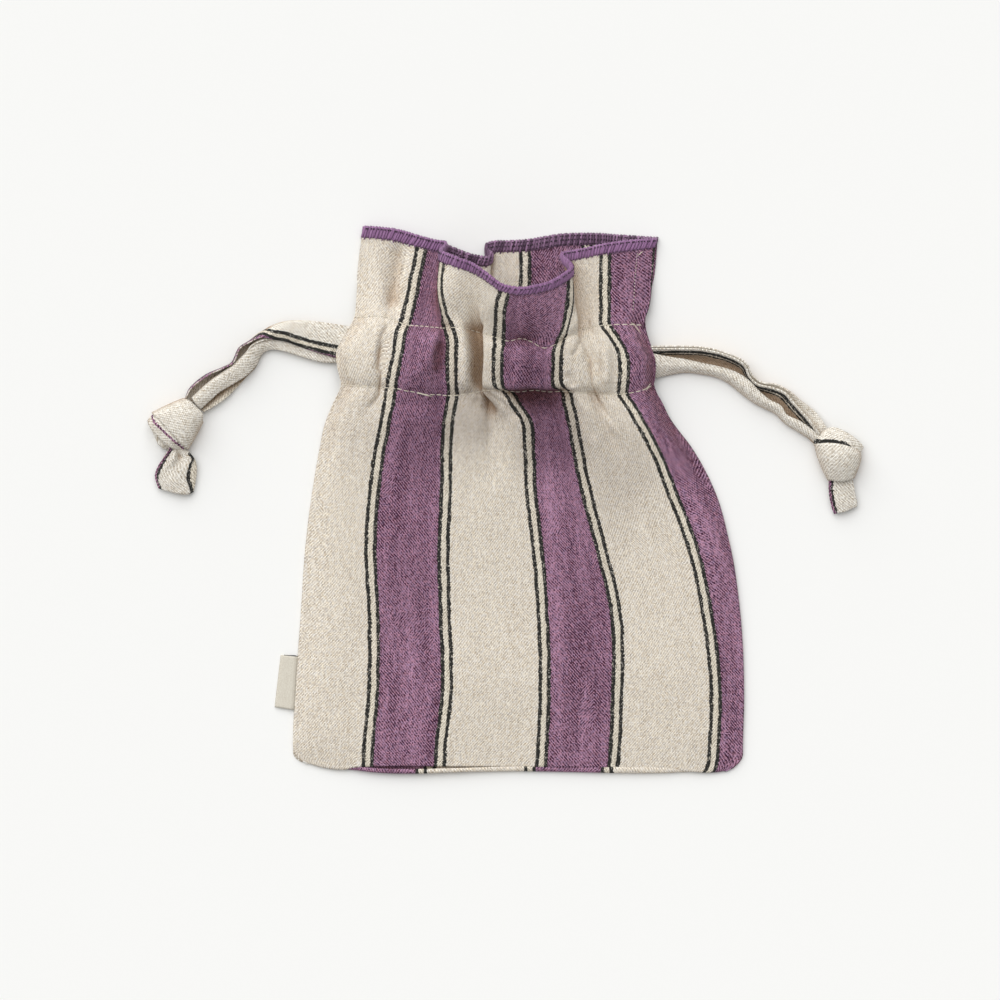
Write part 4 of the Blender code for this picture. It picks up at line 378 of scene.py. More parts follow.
# The bands of the knots and the tails, cut by cut in the same way
LEFT_WRAP_CUTS = (
    ((156, 413, 0.8), (165, 409, 0.8), (176, 404, 0.8), (184, 401, 0.8)),
    ((152, 413, 3.2), (163, 407.5, 3.4), (174, 402.5, 3.4), (184, 398.5, 3)),
    ((156, 417, 6.2), (168, 411, 7.2), (180, 405.5, 7.2), (190, 401, 5.4)),
    ((166, 427, 7.4), (176, 420, 8.6), (188, 413, 8.4), (198, 408.5, 6)),
    ((176, 437.5, 7.4), (184, 430, 8.6), (193, 422, 8), (203, 414, 5.6)),
    ((184, 446, 6), (188.5, 439, 7), (195, 430, 6.4), (202.5, 420, 4.4)),
    ((188, 449.5, 3.2), (192, 443, 3.4), (197.5, 433, 3.2), (203, 422, 2.8)),
    ((185, 447, 0.8), (189, 441, 0.8), (194, 432, 0.8), (199, 422, 0.8)),
)
LEFT_SECOND_CUTS = (
    ((150, 421, 0.8), (156, 418, 0.8), (162, 416, 0.8)),
    ((148.2, 421, 2.6), (152, 416, 3.2), (158, 413, 3)),
    ((151, 428, 5), (156, 421, 6.4), (164, 417, 6.2)),
    ((160, 438, 5.8), (166, 431, 7), (174, 427, 6.8)),
    ((169, 446, 5.4), (176, 440.5, 6.6), (183, 437, 6.2)),
    ((176, 450, 3.2), (184, 448.5, 3.6), (189, 444, 3.4)),
    ((174, 448, 0.8), (182, 446, 0.8), (187, 441, 0.8)),
)
RIGHT_WRAP_CUTS = (
    ((830, 478, 0.8), (826, 470, 0.8), (823, 458, 0.8), (820, 446, 0.8)),
    ((828, 480, 2.6), (822, 468.5, 3.2), (817, 455, 3.2), (814.5, 444, 3)),
    ((832, 480.5, 4.4), (828, 467, 6.6), (824, 455, 7), (820, 443.4, 6)),
    ((838, 481.5, 5.2), (836, 467, 8), (833, 454, 8.6), (830, 443, 7.6)),
    ((846, 480.8, 5.2), (845, 467, 8), (843.5, 455, 8.8), (841, 444.5, 7.8)),
    ((851.5, 479, 4.2), (853.5, 467, 6.6), (853, 456, 7.4), (851, 447.5, 6.6)),
    ((854, 477, 2.6), (858.5, 466, 3.4), (860.5, 457, 3.8), (859, 451.5, 3.6)),
    ((851, 475, 0.8), (855, 466, 0.8), (857, 458, 0.8), (855, 452, 0.8)),
)
RIGHT_SECOND_CUTS = (
    ((817, 447, 0.8), (820, 441, 0.8), (824, 437, 0.8)),
    ((813.5, 445, 3), (815, 440, 3), (820, 434.5, 2.6)),
    ((819, 446, 5.2), (820, 438, 5), (826, 429.5, 3.6)),
    ((829, 446, 6.6), (830, 436, 6), (834, 427.5, 4)),
    ((841, 448, 6.8), (842, 439, 6.4), (846, 432.5, 4.4)),
    ((851, 450, 5.8), (853, 444, 5.2), (857, 440, 3.6)),
    ((859, 455, 3.2), (861, 450, 3), (863, 447, 2.4)),
    ((856, 454, 0.8), (858, 450, 0.8), (859, 447, 0.8)),
)
LEFT_TAIL_CUTS = (
    ((170, 447.5, 3.2), (172, 448, 3.6), (174.5, 448.5, 3.4), (177, 448.5, 3.8), (181, 448.5, 3.6),
     (185, 449, 3)),
    ((164.5, 456, 2.4), (168, 457, 2), (174, 458, 4.6), (179.5, 457, 2), (185, 455, 3.6),
     (190.5, 453.5, 2.8)),
    ((158.5, 466, 2.2), (162.5, 467, 3), (171, 469, 2.6), (181, 468, 3.6), (190, 464.5, 3.6),
     (195.8, 462, 2.2)),
    ((155.2, 476, 1.8), (159.5, 478.5, 2.4), (169, 481, 2.8), (181, 481, 3), (191.5, 476.5, 2.8),
     (196.5, 474, 1.8)),
    ((158.5, 488, 1.4), (162, 489.5, 1.8), (170, 491.8, 2), (179, 494, 2.2), (187, 494.8, 2),
     (193.5, 492, 1.4)),
)
RIGHT_TAIL_CUTS = (
    ((828.5, 478, 3), (833, 478, 3.6), (841, 478, 3.8), (848, 478, 3.4), (852, 478, 2.6)),
    ((828.8, 492, 2.4), (833.5, 492.5, 3.2), (842, 492.5, 3.4), (850, 492, 3), (854.5, 491.5, 2.2)),
    ((831, 504.5, 2), (836, 504.5, 2.8), (844.5, 504.5, 3), (852, 504, 2.6), (857, 503.5, 1.8)),
    ((834, 514, 1.4), (838.5, 513, 2.2), (845, 511.5, 2.4), (851.5, 508.5, 2.2), (856, 507, 1.6)),
)
LEFT_KNOT_CORE = ((184, 400), (200, 412), (201, 424), (189, 446), (176, 448), (164, 451.5), (157, 446),
    (150, 430),
                  (149, 421), (153, 413), (168, 405))
RIGHT_KNOT_CORE = ((817, 446), (828, 433), (842, 434), (855, 443), (860, 453), (855, 472), (850, 477),
    (830, 478),
                   (821, 462))


class Face(Enum):
    """The two panels of the pouch."""

    FRONT = "front"
    BACK = "back"


def cubic_through(knots: Grid, values: Grid, places: Grid) -> Grid:
    """Values on a cubic through the given values, whose slopes come from each knot's neighbours.

    Args:
        knots: Rising places of the values.
        values: One value, point or row of points for each knot.
        places: Where the cubic is read.

    Returns:
        One value for each place.
    """
    knots = np.asarray(knots, float)
    values = np.asarray(values, float)
    places = np.clip(places, knots[0], knots[-1])
    shape = (-1,) + (1,) * (values.ndim - 1)
    steps = np.diff(knots)
    slopes = np.diff(values, axis=0) / steps.reshape(shape)
    tangents = np.empty_like(values)
    tangents[0] = slopes[0]
    tangents[-1] = slopes[-1]
    if len(knots) > 2:
        before = steps[:-1].reshape(shape)
        after = steps[1:].reshape(shape)
        tangents[1:-1] = (slopes[:-1] * after + slopes[1:] * before) / (before + after)
    index = np.clip(np.searchsorted(knots, places, side="right") - 1, 0, len(steps) - 1)
    width = steps[index].reshape(shape)
    s = ((places - knots[index]) / steps[index]).reshape(shape)
    rise = (2 * s**3 - 3 * s**2 + 1) * values[index] + (3 * s**2 - 2 * s**3) * values[index + 1]
    bend = (s**3 - 2 * s**2 + s) * tangents[index] + (s**3 - s**2) * tangents[index + 1]
    return rise + width * bend


def plan_to_world(plan: Grid) -> Grid:
    """World points of plan points.

    Args:
        plan: Points as x and y in plan units and z in millimetres, in the last axis.

    Returns:
        The same points in metres.
    """
    plan = np.asarray(plan, float)
    world = np.empty(plan.shape)
    world[..., 0] = (plan[..., 0] - PLAN_CENTRE_X) * PLAN_UNIT
    world[..., 1] = (PLAN_BOTTOM_Y - plan[..., 1]) * PLAN_UNIT + WORLD_BOTTOM_Y
    world[..., 2] = plan[..., 2] * MILLI
    return world


def unit(vectors: Grid) -> Grid:
    """Vectors of the last axis at a length of one."""
    return vectors / np.maximum(np.linalg.norm(vectors, axis=-1, keepdims=True), TINY)


def eased(share: Grid) -> Grid:
    """A share from 0 to 1 that leaves and arrives level."""
    return share * share * (3.0 - 2.0 * share)


def run_lengths(points: Grid) -> Grid:
    """Length from the start of a line of points, or of each row of a grid, up to each point.

    Args:
        points: Points, in any unit.

    Returns:
        One length for each point, in that unit.
    """
    steps = np.linalg.norm(np.diff(points, axis=-2), axis=-1)
    return np.concatenate((np.zeros((*steps.shape[:-1], 1)), np.cumsum(steps, axis=-1)), axis=-1)


def flat_places(across: Grid, along: Grid) -> Grid:
    """Places on the flat cloth, from how far across and along it they lie."""
    return np.stack(np.broadcast_arrays(across, along), axis=-1)


def print_places(shares: Grid, heights: Grid) -> Grid:
    """Plan units across the printed cloth, for each share across a panel at each height up it."""
    return shares[None, :] * PANEL_UNITS + PRINT_SLANT * np.maximum(heights, 0.0)[:, None]


def from_edge(shares: Grid) -> Grid:
    """How far each share across a panel lies from the nearer side seam."""
    return np.minimum(shares, 1.0 - shares)


def lattice_value(columns: Grid, rows: Grid, seed: int) -> Grid:
    """A repeatable value from -1 to 1 for each whole-numbered place of a lattice.

    Args:
        columns: First number of each place.
        rows: Second number of each place.
        seed: Picks another pattern.

    Returns:
        One value for each place, mixed from its numbers by large primes.
    """
    mixed = (columns * 374761393 + rows * 668265263 + seed * 1442695041) & 0xFFFFFFFF
    mixed = ((mixed ^ (mixed >> 13)) * 1274126177) & 0xFFFFFFFF
    return ((mixed ^ (mixed >> 16)) & 0xFFFF) / 32767.5 - 1.0


def soft_noise(across: Grid, along: Grid, seed: int) -> Grid:
    """Smooth noise from -1 to 1 with one lump to a unit of either direction.

    Args:
        across: First coordinate of each place.
        along: Second coordinate of each place.
        seed: Picks another pattern.

    Returns:
        One value for each place.
    """
    column = np.floor(across).astype(np.int64)
    row = np.floor(along).astype(np.int64)
    s = eased(across - column)
    t = eased(along - row)
    low, high = (lattice_value(column, level, seed) * (1.0 - s) + lattice_value(column + 1, level, seed) * s
                 for level in (row, row + 1))
    return low * (1.0 - t) + high * t


def grid_normals(grid: Grid) -> Grid:
    """Unit normals of a grid of points, from the differences between neighbours."""
    return unit(np.cross(np.gradient(grid, axis=1), np.gradient(grid, axis=0)))


def add_mesh(name: str, points: Grid, faces: list[tuple[int, ...]], finish: Finish, cloth: Grid) -> Piece:
    """Link a smooth-shaded object made of points and faces.

    Args:
        name: Name of the object and its mesh.
        points: World points, one row each.
        faces: Indices of each face's corners.
        finish: Its material.
        cloth: Places on the flat cloth in millimetres for the UV map, for each point or each face's corner.

    Returns:
        The object, at the origin.
    """
    mesh = bpy.data.meshes.new(name)
    mesh.from_pydata(points.tolist(), [], faces)
    if len(cloth) != len(mesh.loops):
        corners = np.empty(len(mesh.loops), dtype=np.int32)
        mesh.loops.foreach_get("vertex_index", corners)
        cloth = cloth[corners]
    layer = mesh.uv_layers.new(name=UV_NAME)
    layer.uv.foreach_set("vector", ((cloth + UV_SHIFT) / UV_SPAN).astype(np.float32).ravel())
    mesh.materials.append(finish)
    mesh.shade_smooth()
    piece = bpy.data.objects.new(name, mesh)
    bpy.context.collection.objects.link(piece)
    return piece


def face_outward(piece: Piece) -> None:
    """Turn every face of a closed object outward.

    Args:
        piece: The object.
    """
    work = bmesh.new()
    work.from_mesh(piece.data)
    bmesh.ops.recalc_face_normals(work, faces=work.faces)
    work.to_mesh(piece.data)
    work.free()


def seat(piece: Piece, node: str | None = None) -> Piece:
    """Put a piece on the pouch's one body, and hide the node that it stands for.

    Args:
        piece: The piece.
        node: The node that it replaces, if any.

    Returns:
        The piece.
    """
    if node is not None:
        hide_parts(node)
    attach(piece, "root")
    return piece


@dataclass(frozen=True)
class FoldShade:
    """How the folds of a piece of cloth hide its points from above, found from the piece's own heights; the
    cloth's colour is darkened by it as painted shade.
    """

    cell: float = 0.0006
    directions: int = 12
    reaches: tuple[float, ...] = (0.0012, 0.002, 0.0032, 0.005, 0.0075, 0.011)
    least_step: float = 0.0004

    def tops(self, points: Grid, low: Grid) -> Grid:
        """Highest point over each cell of the plan, with small gaps closed.

        Args:
            points: World points.
            low: Corner of the first cell.

        Returns:
            One height for each cell.
        """
        spots = ((points[:, :2] - low) / self.cell).astype(int)
        top = np.zeros(spots.max(axis=0) + 4)
        np.maximum.at(top, (spots[:, 0], spots[:, 1]), points[:, 2])
        for _ in range(2):
            beside = [np.roll(top, (i, j), (0, 1)) for i in (-1, 0, 1) for j in (-1, 0, 1)]
            top = np.where(top > 0.0, top, np.max(beside, axis=0))
        return top

    def of(self, points: Grid) -> Grid:
        """How far the folds around each point hide it.

        Args:
            points: World points of one piece of cloth.

        Returns:
            A share from 0 to 1 for each point.
        """
        low = points[:, :2].min(axis=0) - 3.0 * self.cell
        top = self.tops(points, low)
        hidden = np.zeros(len(points))
        for turn in range(self.directions):
            angle = turn * 2.0 * math.pi / self.directions
            way = np.array((math.cos(angle), math.sin(angle)))
            steepest = np.zeros(len(points))
            for reach in self.reaches:
                spots = ((points[:, :2] + way * reach - low) / self.cell).astype(int)
                spots = np.clip(spots, 0, np.array(top.shape) - 1)
                rise = top[spots[:, 0], spots[:, 1]] - points[:, 2] - self.least_step
                steepest = np.maximum(steepest, rise / reach)
            hidden += steepest**2 / (1.0 + steepest**2) / self.directions
        return hidden


def shell_faces(rows: int, columns: int) -> tuple[Grid, Grid, Grid]:
    """Faces of a closed sheet made of an upper and a lower grid.

    Args:
        rows: Rows of points in each grid.
        columns: Points in each row.

    Returns:
        Corners of the upper side's faces, the lower side's and the rim's.
    """
    under = rows * columns
    base = (np.arange(rows - 1)[:, None] * columns + np.arange(columns - 1)[None, :]).ravel()
    upper = np.stack((base, base + 1, base + columns + 1, base + columns), axis=1)
    index = np.arange(under).reshape(rows, columns)
    ring = np.concatenate((index[0], index[1:, -1], index[-1, -2::-1], index[-2:0:-1, 0]))
    following = np.roll(ring, -1)
    rim = np.stack((following, ring, under + ring, under + following), axis=1)
    return upper, upper[:, ::-1] + under, rim


# Shade that a cord's upper tape takes from the lower: millimetres across its print, and how much of it there
BESIDE_SHADE = ((3.4, 4.6), (0.5, 2.6))
REVERSE_SHADE = 0.3


def cloth_shell(name: str, middle: Grid, thickness: float | Grid, cloth: Grid, finish: Finish,
                reverse: float = 0.0, beside: Grid | None = None, shades: Shades | None = None) -> Piece:
    """A closed sheet of cloth about a middle surface.

    Args:
        name: Name of the object.
        middle: World points, one row of points for each line across the cloth.
        thickness: Thickness in metres, one value or one for each row.
        cloth: Places of the points on the flat cloth, in millimetres.
        finish: Its material.
        reverse: How far the reverse side's places are moved across the print, in millimetres.
        beside: World points of a neighbour whose shade falls on this sheet too.
        shades: Shade to add for its folds and for its slopes, one of each for each point of the middle.

    Returns:
        The object.
    """
    rows, columns = middle.shape[:2]
    half = np.broadcast_to(np.asarray(thickness, float).reshape(-1, 1, 1) / 2, (rows, 1, 1))
    offset = grid_normals(middle) * half
    points = np.concatenate(((middle + offset).reshape(-1, 3), (middle - offset).reshape(-1, 3)))
    upper, lower, rim = shell_faces(rows, columns)
    faces = np.concatenate((upper, lower, rim))
    flat = np.tile(cloth.reshape(-1, 2), (2, 1))[faces.ravel()]
    flat[upper.size:upper.size + lower.size, 0] += reverse
    piece = add_mesh(name, points, faces.tolist(), finish, flat)
    # Painted shade: how far the folds hide each point is stored on the mesh and darkens the printed cloth's
    # colour
    every = points if beside is None else np.concatenate((points, beside))
    hidden = FoldShade().of(every)[:len(points)]
    if beside is not None:
        printed = np.interp(cloth[..., 0].ravel(), *BESIDE_SHADE)
        hidden = hidden * np.concatenate((printed, np.full(len(printed), REVERSE_SHADE)))
    slopes = np.zeros(len(points))
    if shades is not None:
        hidden = hidden + np.tile(shades[0].ravel(), 2)
        slopes = np.tile(shades[1].ravel(), 2)
    for attribute, values in ((FOLD_NAME, hidden), (SLOPE_NAME, slopes)):
        layer = piece.data.attributes.new(attribute, "FLOAT", "POINT")
        layer.data.foreach_set("value", values.astype(np.float32))
    return piece


@dataclass
class Threads:
    """Many short threads that become one piece."""

    sides: int = 5
    end: float = 0.55
    lines: list[Grid] = field(default_factory=list)
    ways: list[Grid] = field(default_factory=list)
    radii: list[tuple[float, float]] = field(default_factory=list)

    def add(self, line: Grid, ways: Grid, wide: float, high: float) -> None:
        """Add a thread.

        Args:
            line: World points along its middle.
            ways: The way up at each point.
            wide: Half its width, in millimetres.
            high: Half its height, in millimetres.
        """
        self.lines.append(line)
        self.ways.append(ways)
        self.radii.append((wide * MILLI, high * MILLI))

    def build(self, name: str, finish: Finish) -> Piece:
        """One closed mesh of all the threads.

        Args:
            name: Name of the object.
            finish: Its material.

        Returns:
            The object.
        """
        points, faces, cloth = [], [], []
        sides = np.arange(self.sides)
        angles = sides * 2.0 * math.pi / self.sides
        first = 0
        for number, (line, ups, (wide, high)) in enumerate(zip(self.lines, self.ways, self.radii)):
            tangents = unit(np.gradient(line, axis=0))
            across = unit(np.cross(tangents, ups))
            ups = np.cross(across, tangents)
            taper = np.ones((len(line), 1, 1))
            taper[[0, -1]] = self.end
            around = (across[:, None] * (np.cos(angles) * wide)[:, None]
                      + ups[:, None] * (np.sin(angles) * high)[:, None])
            points.append((line[:, None] + taper * around).reshape(-1, 3))
            own = np.cos(angles) * wide / MILLI + (number % 60) * 2.0
            cloth.append(flat_places(own, run_lengths(line)[:, None] / MILLI).reshape(-1, 2))
            rings = first + np.arange(len(line) - 1)[:, None] * self.sides
            near, far = rings + sides, rings + (sides + 1) % self.sides
            skin = np.stack((near, near + self.sides, far + self.sides, far), axis=-1)
            last = first + (len(line) - 1) * self.sides
            faces += skin.reshape(-1, 4).tolist()
            faces += [(first + sides).tolist(), (last + sides)[::-1].tolist()]
            first = last + self.sides
        piece = add_mesh(name, np.concatenate(points), faces, finish, np.concatenate(cloth))
        face_outward(piece)
        return piece


class Bench:
    """Adds nodes to one material and joins them."""

    def __init__(self, name: str) -> None:
        """Start a material with only its Principled shader and its output.

        Args:
            name: Name of the material.
        """
        self.material = bpy.data.materials.new(name)
        self.material.use_nodes = True
        self.tree = self.material.node_tree
        self.shader = self.tree.nodes["Principled BSDF"]

    def node(self, kind: str, sources: Sources | None = None, **settings: object) -> bpy.types.Node:
        """Add a node.

        Args:
            kind: Its type.
            sources: What each of its inputs is linked to or set to.
            settings: Its own settings.

        Returns:
            The node.
        """
        made = self.tree.nodes.new(kind)
        for setting, value in settings.items():
            setattr(made, setting, value)
        for socket, source in (sources or {}).items():
            self.feed(made.inputs[socket], source)
        return made

    def feed(self, socket: Socket, source: object) -> None:
        """Link a socket to another, or give it a value.

        Args:
            socket: The input.
            source: An output, a value, or None to leave the input as it is.
        """
        if isinstance(source, bpy.types.NodeSocket):
            self.tree.links.new(source, socket)
        elif source is not None:
            socket.default_value = source

    def maths(self, operation: str, *sources: object, clamp: bool = False) -> Socket:
        """The result of a Math node."""
        made = self.node("ShaderNodeMath", dict(enumerate(sources)), operation=operation, use_clamp=clamp)
        return made.outputs[0]

    def plus(self, value: object, factor: object, added: object, clamp: bool = False) -> Socket:
        """A value times a factor, plus another."""
        return self.maths("MULTIPLY_ADD", value, factor, added, clamp=clamp)

    def swayed(self, value: object, noise: Socket, amount: float, middle: float = 0.5,
               clamp: bool = False) -> Socket:
        """A value moved by a noise, which leaves it alone at its middle."""
        return self.plus(self.maths("SUBTRACT", noise, middle), amount, value, clamp)

    def times(self, first: object, second: object, clamp: bool = False) -> Socket:
        """The product of two values."""
        return self.maths("MULTIPLY", first, second, clamp=clamp)

    def steps(self, value: Socket, size: float) -> Socket:
        """Number of the step of a size that a value lies in."""
        return self.maths("FLOOR", self.maths("DIVIDE", value, size))

    def half_wave(self, value: Socket) -> Socket:
        """A wave from 0 through 1 to 0 over each whole number of a value."""
        return self.maths("SINE", self.times(self.maths("FRACT", value), math.pi))

    def scaled(self, vector: Socket, across: float, along: float) -> Socket:
        """A vector times a factor across and one along, without its third number."""
        return self.node("ShaderNodeVectorMath", {0: vector, 1: (across, along, 0.0)},
                         operation="MULTIPLY").outputs[0]

    def uv(self, across: float = UV_SPAN, along: float = UV_SPAN) -> Socket:
        """Place on the cloth, from the UV map times a factor across and one along."""
        return self.scaled(self.node("ShaderNodeUVMap", uv_map=UV_NAME).outputs[0], across, along)

    def attribute(self, name: str) -> Socket:
        """A number that the mesh holds for each point."""
        return self.node("ShaderNodeAttribute", attribute_name=name).outputs["Fac"]

    def split(self, vector: Socket) -> tuple[Socket, Socket]:
        """The first two numbers of a vector."""
        made = self.node("ShaderNodeSeparateXYZ", {0: vector})
        return made.outputs[0], made.outputs[1]

    def noise(self, vector: Socket, scale: float, detail: float, rough: float = 0.5) -> Socket:
        """Smooth noise from 0 to 1."""
        return self.node("ShaderNodeTexNoise", {"Vector": vector, "Scale": scale, "Detail": detail,
                                                "Roughness": rough}, noise_dimensions="3D").outputs[0]

    def chance(self, x: object, y: object, kind: float) -> Socket:
        """A random number from 0 to 1 for each pair of numbers; each kind is another draw."""
        place = self.node("ShaderNodeCombineXYZ", {0: x, 1: y, 2: kind}).outputs[0]
        return self.node("ShaderNodeTexWhiteNoise", {"Vector": place}, noise_dimensions="3D").outputs[0]

    def blended(self, share: object, low: object, high: object) -> Socket:
        """A mix of two numbers."""
        return self.node("ShaderNodeMix", {0: share, 2: low, 3: high}, data_type="FLOAT").outputs[0]

    def opaque(self, colour: object) -> object:
        """A colour that is given as an output, or its three numbers with a fourth."""
        return colour if isinstance(colour, bpy.types.NodeSocket) else (*colour, 1.0)

    def mixed(self, share: object, low: object, high: object, blend: str = "MIX") -> Socket:
        """A mix of two colours, each an output or three numbers."""
        sources = {0: share, 6: self.opaque(low), 7: self.opaque(high)}
        return self.node("ShaderNodeMix", sources, data_type="RGBA", blend_type=blend).outputs[2]

    def covered(self, value: Socket, spans: list[tuple[float, float]]) -> Socket:
        """A mask that is 1 where a value lies in one of some spans.

        Args:
            value: What is looked up.
            spans: Start and end of each span.

        Returns:
            The mask.
        """
        mask = None
        for start, end in spans:
            inside = self.maths("COMPARE", value, (start + end) / 2, (end - start) / 2)
            mask = inside if mask is None else self.maths("ADD", mask, inside)
        return self.times(value, 0.0) if mask is None else mask

    def relief(self, height: Socket, distance: float, strength: float) -> None:
        """Give the shader a bump."""
        made = self.node("ShaderNodeBump", {"Height": height, "Distance": distance, "Strength": strength})
        self.feed(self.shader.inputs["Normal"], made.outputs[0])

    def surface(self, colour: object, roughness: float, sheen: float, specular: float) -> None:
        """Give the shader its colour and its plain numbers.

        Args:
            colour: An output, or three numbers.
            roughness: Its roughness.
            sheen: Weight of its sheen.
            specular: Level of its reflection.
        """
        inputs = self.shader.inputs
        self.feed(inputs["Base Color"], self.opaque(colour))
        inputs["Roughness"].default_value = roughness
        inputs["Specular IOR Level"].default_value = specular
        inputs["Sheen Weight"].default_value = sheen
        inputs["Sheen Roughness"].default_value = 0.5


def tone(red: int, green: int, blue: int) -> Colour:
    """Linear colour of an 8-bit screen colour."""
    shares = [value / 255.0 for value in (red, green, blue)]
    return tuple(share / 12.92 if share <= 0.04045 else ((share + 0.055) / 1.055)**2.4 for share in shares)


class Dye(Enum):
    """What a band of the printed cloth is coloured with."""

    NATURAL = "natural"
    PURPLE = "purple"
    BLACK = "black"
    WHITE = "white"


Bands = tuple[tuple[float, Dye], ...]


@dataclass(frozen=True)
class Pattern:
    """A smooth noise on the cloth, with its lumps to a millimetre across and along."""

    across: float
    along: float
    detail: float = 2.0
    rough: float = 0.5

    def on(self, bench: Bench, cloth: Socket) -> Socket:
        """The noise at each place of the cloth."""
        return bench.noise(bench.scaled(cloth, self.across, self.along), 1.0, self.detail, self.rough)


class Loom(Bench):
    """A bench that knows which warp and weft yarn each point of a twill cloth lies on."""

    def __init__(self, name: str, warp: float, weft: float) -> None:
        """Start a material and find its yarns.

        Args:
            name: Name of the material.
            warp: Millimetres from one warp yarn to the next.
            weft: Millimetres from one weft yarn to the next.
        """
        super().__init__(name)
        sources = {0: self.uv(), 1: (UV_SHIFT, UV_SHIFT, 0.0)}
        self.cloth = self.node("ShaderNodeVectorMath", sources, operation="SUBTRACT").outputs[0]
        self.x, self.y = self.split(self.cloth)
        self.column, self.row = self.steps(self.x, warp), self.steps(self.y, weft)
        self.fleck = self.chance(self.column, self.row, 1.0)


@dataclass(frozen=True)
class StripedLinen:
    """Printed twill linen: natural ground, purple bands and pairs of black lines with white between.

    Each band starts at a place across the cloth in millimetres and ends where the next one starts.
    """

    name: str
    bands: Bands
    warp: float = 0.343
    weft: float = 0.42
    natural_warm: tuple[Colour, Colour] = (tone(178, 157, 130), tone(254, 245, 226))
    natural_cool: tuple[Colour, Colour] = (tone(162, 151, 138), tone(247, 243, 237))
    white: tuple[Colour, Colour] = (tone(156, 144, 124), tone(250, 242, 226))
    purple_warm: tuple[Colour, Colour] = (tone(72, 34, 50), tone(203, 150, 172))
    purple_cool: tuple[Colour, Colour] = (tone(54, 32, 54), tone(180, 146, 178))
    black: Colour = tone(40, 40, 39)
    # Painted shade: the dark of the needle holes along the rows of stitching
    needle_hole_shade: Colour = tone(84, 70, 60)
    # Painted shade: colours that the cloth is multiplied by where the fold and slope attributes mark shade
    fold_shade_tint: Colour = (0.6, 0.47, 0.37)
    slope_shade_tint: Colour = (0.5, 0.48, 0.49)
    row_places: tuple[float, ...] = ()
    ragged: Pattern = Pattern(1.5, 1.2, 2.0, 0.7)
    swell: Pattern = Pattern(0.8, 0.22, 1.0)
    patch: Pattern = Pattern(0.05, 0.03)
    grain: Pattern = Pattern(1.0, 0.8, 3.0, 0.7)
    blotch: Pattern = Pattern(0.13, 0.014, 3.0, 0.55)
    streak: Pattern = Pattern(1.1, 0.03, 2.0, 0.6)

    def spans(self, dye: Dye) -> list[tuple[float, float]]:
        """Start and end of each band of one dye."""
        ends = [place for place, _ in self.bands[1:]] + [400.0]
        return [(start, end) for (start, kind), end in zip(self.bands, ends) if kind is dye]

    def dyes(self, loom: Loom) -> dict[Dye, Socket]:
        """Where each dye lies, with wandering and ragged edges.

        Args:
            loom: The material's loom.

        Returns:
            A mask for each dye on the natural ground.
        """
        moved = loom.swayed(loom.x, loom.noise(loom.cloth, 0.16, 2.0), 0.7)
        moved = loom.swayed(moved, self.ragged.on(loom, loom.cloth), 0.62)
        moved = loom.swayed(moved, self.swell.on(loom, loom.cloth), 0.6)
        moved = loom.swayed(moved, loom.fleck, 0.34)
        return {dye: loom.covered(moved, self.spans(dye)) for dye in (Dye.PURPLE, Dye.BLACK, Dye.WHITE)}

    def twill(self, loom: Loom, purple: Socket) -> Socket:
        """Where the weft lies on top: on one yarn in three, leaning the other way on purple and in patches.

        Args:
            loom: The material's loom.
            purple: Where the cloth is purple.

        Returns:
            1 on the weft and 0 on the warp.
        """
        patch = loom.maths("GREATER_THAN", self.patch.on(loom, loom.cloth), 0.62)
        lean = loom.times(loom.plus(purple, 2.0, -1.0), loom.plus(patch, -2.0, 1.0))
        phase = loom.maths("FLOORED_MODULO", loom.plus(loom.row, lean, loom.column), 3.0)
        return loom.maths("LESS_THAN", phase, 0.5)

    def uneven(self, loom: Loom, over: Socket, grain: Socket) -> Socket:
        """How much paler or darker than its band each point is, from dashes of each yarn, flecks and grain.

        Args:
            loom: The material's loom.
            over: Where the weft lies on top.
            grain: The fine noise.

        Returns:
            A number about 0.
        """
        weft_dash, warp_dash = (
            loom.maths("FLOOR", loom.plus(yarn, 0.37, loom.maths("DIVIDE", place, length)))
            for yarn, place, length in ((loom.row, loom.x, 1.3), (loom.column, loom.y, 1.9)))
        weft = loom.plus(loom.chance(weft_dash, loom.row, 5.0), 0.32, 0.12)
        warp = loom.plus(loom.chance(loom.column, warp_dash, 3.0), 0.26, -0.27)
        return loom.swayed(loom.swayed(loom.blended(over, warp, weft), loom.fleck, 0.42), grain, 0.3)

    def dyed(self, loom: Loom, dyes: dict[Dye, Socket], over: Socket) -> Socket:
        """Colour of the clean cloth.

        Args:
            loom: The material's loom.
            dyes: Where each dye lies.
            over: Where the weft lies on top.

        Returns:
            The colour.
        """
        grain = self.grain.on(loom, loom.cloth)
        blotch = self.blotch.on(loom, loom.cloth)
        streak = self.streak.on(loom, loom.cloth)
        uneven = self.uneven(loom, over, grain)
        pale = loom.swayed(loom.plus(uneven, 1.15, 0.545), streak, 0.2, clamp=True)
        deep = loom.swayed(loom.plus(uneven, 1.9, 0.46), blotch, 1.5, 0.49)
        deep = loom.swayed(deep, streak, 0.35, clamp=True)
        warmth = loom.plus(loom.noise(loom.cloth, 0.9, 1.0), 1.6, -0.55)
        warmth = loom.plus(loom.chance(loom.column, loom.row, 7.0), 0.5, warmth, clamp=True)
        natural, purple = (loom.mixed(share, *(loom.mixed(warmth, *ends) for ends in zip(cool, warm)))
                           for share, cool, warm in ((pale, self.natural_cool, self.natural_warm),
                                                     (deep, self.purple_cool, self.purple_warm)))
        colour = loom.mixed(dyes[Dye.WHITE], natural, loom.mixed(pale, *self.white))
        colour = loom.mixed(dyes[Dye.PURPLE], colour, purple)
        specks = loom.node("ShaderNodeMapRange", dict(enumerate((loom.plus(loom.fleck, 0.5, grain),
                                                                  0.9, 1.08, 0.99, 0.5))), clamp=True)
        return loom.mixed(loom.times(dyes[Dye.BLACK], specks.outputs[0]), colour, self.black)

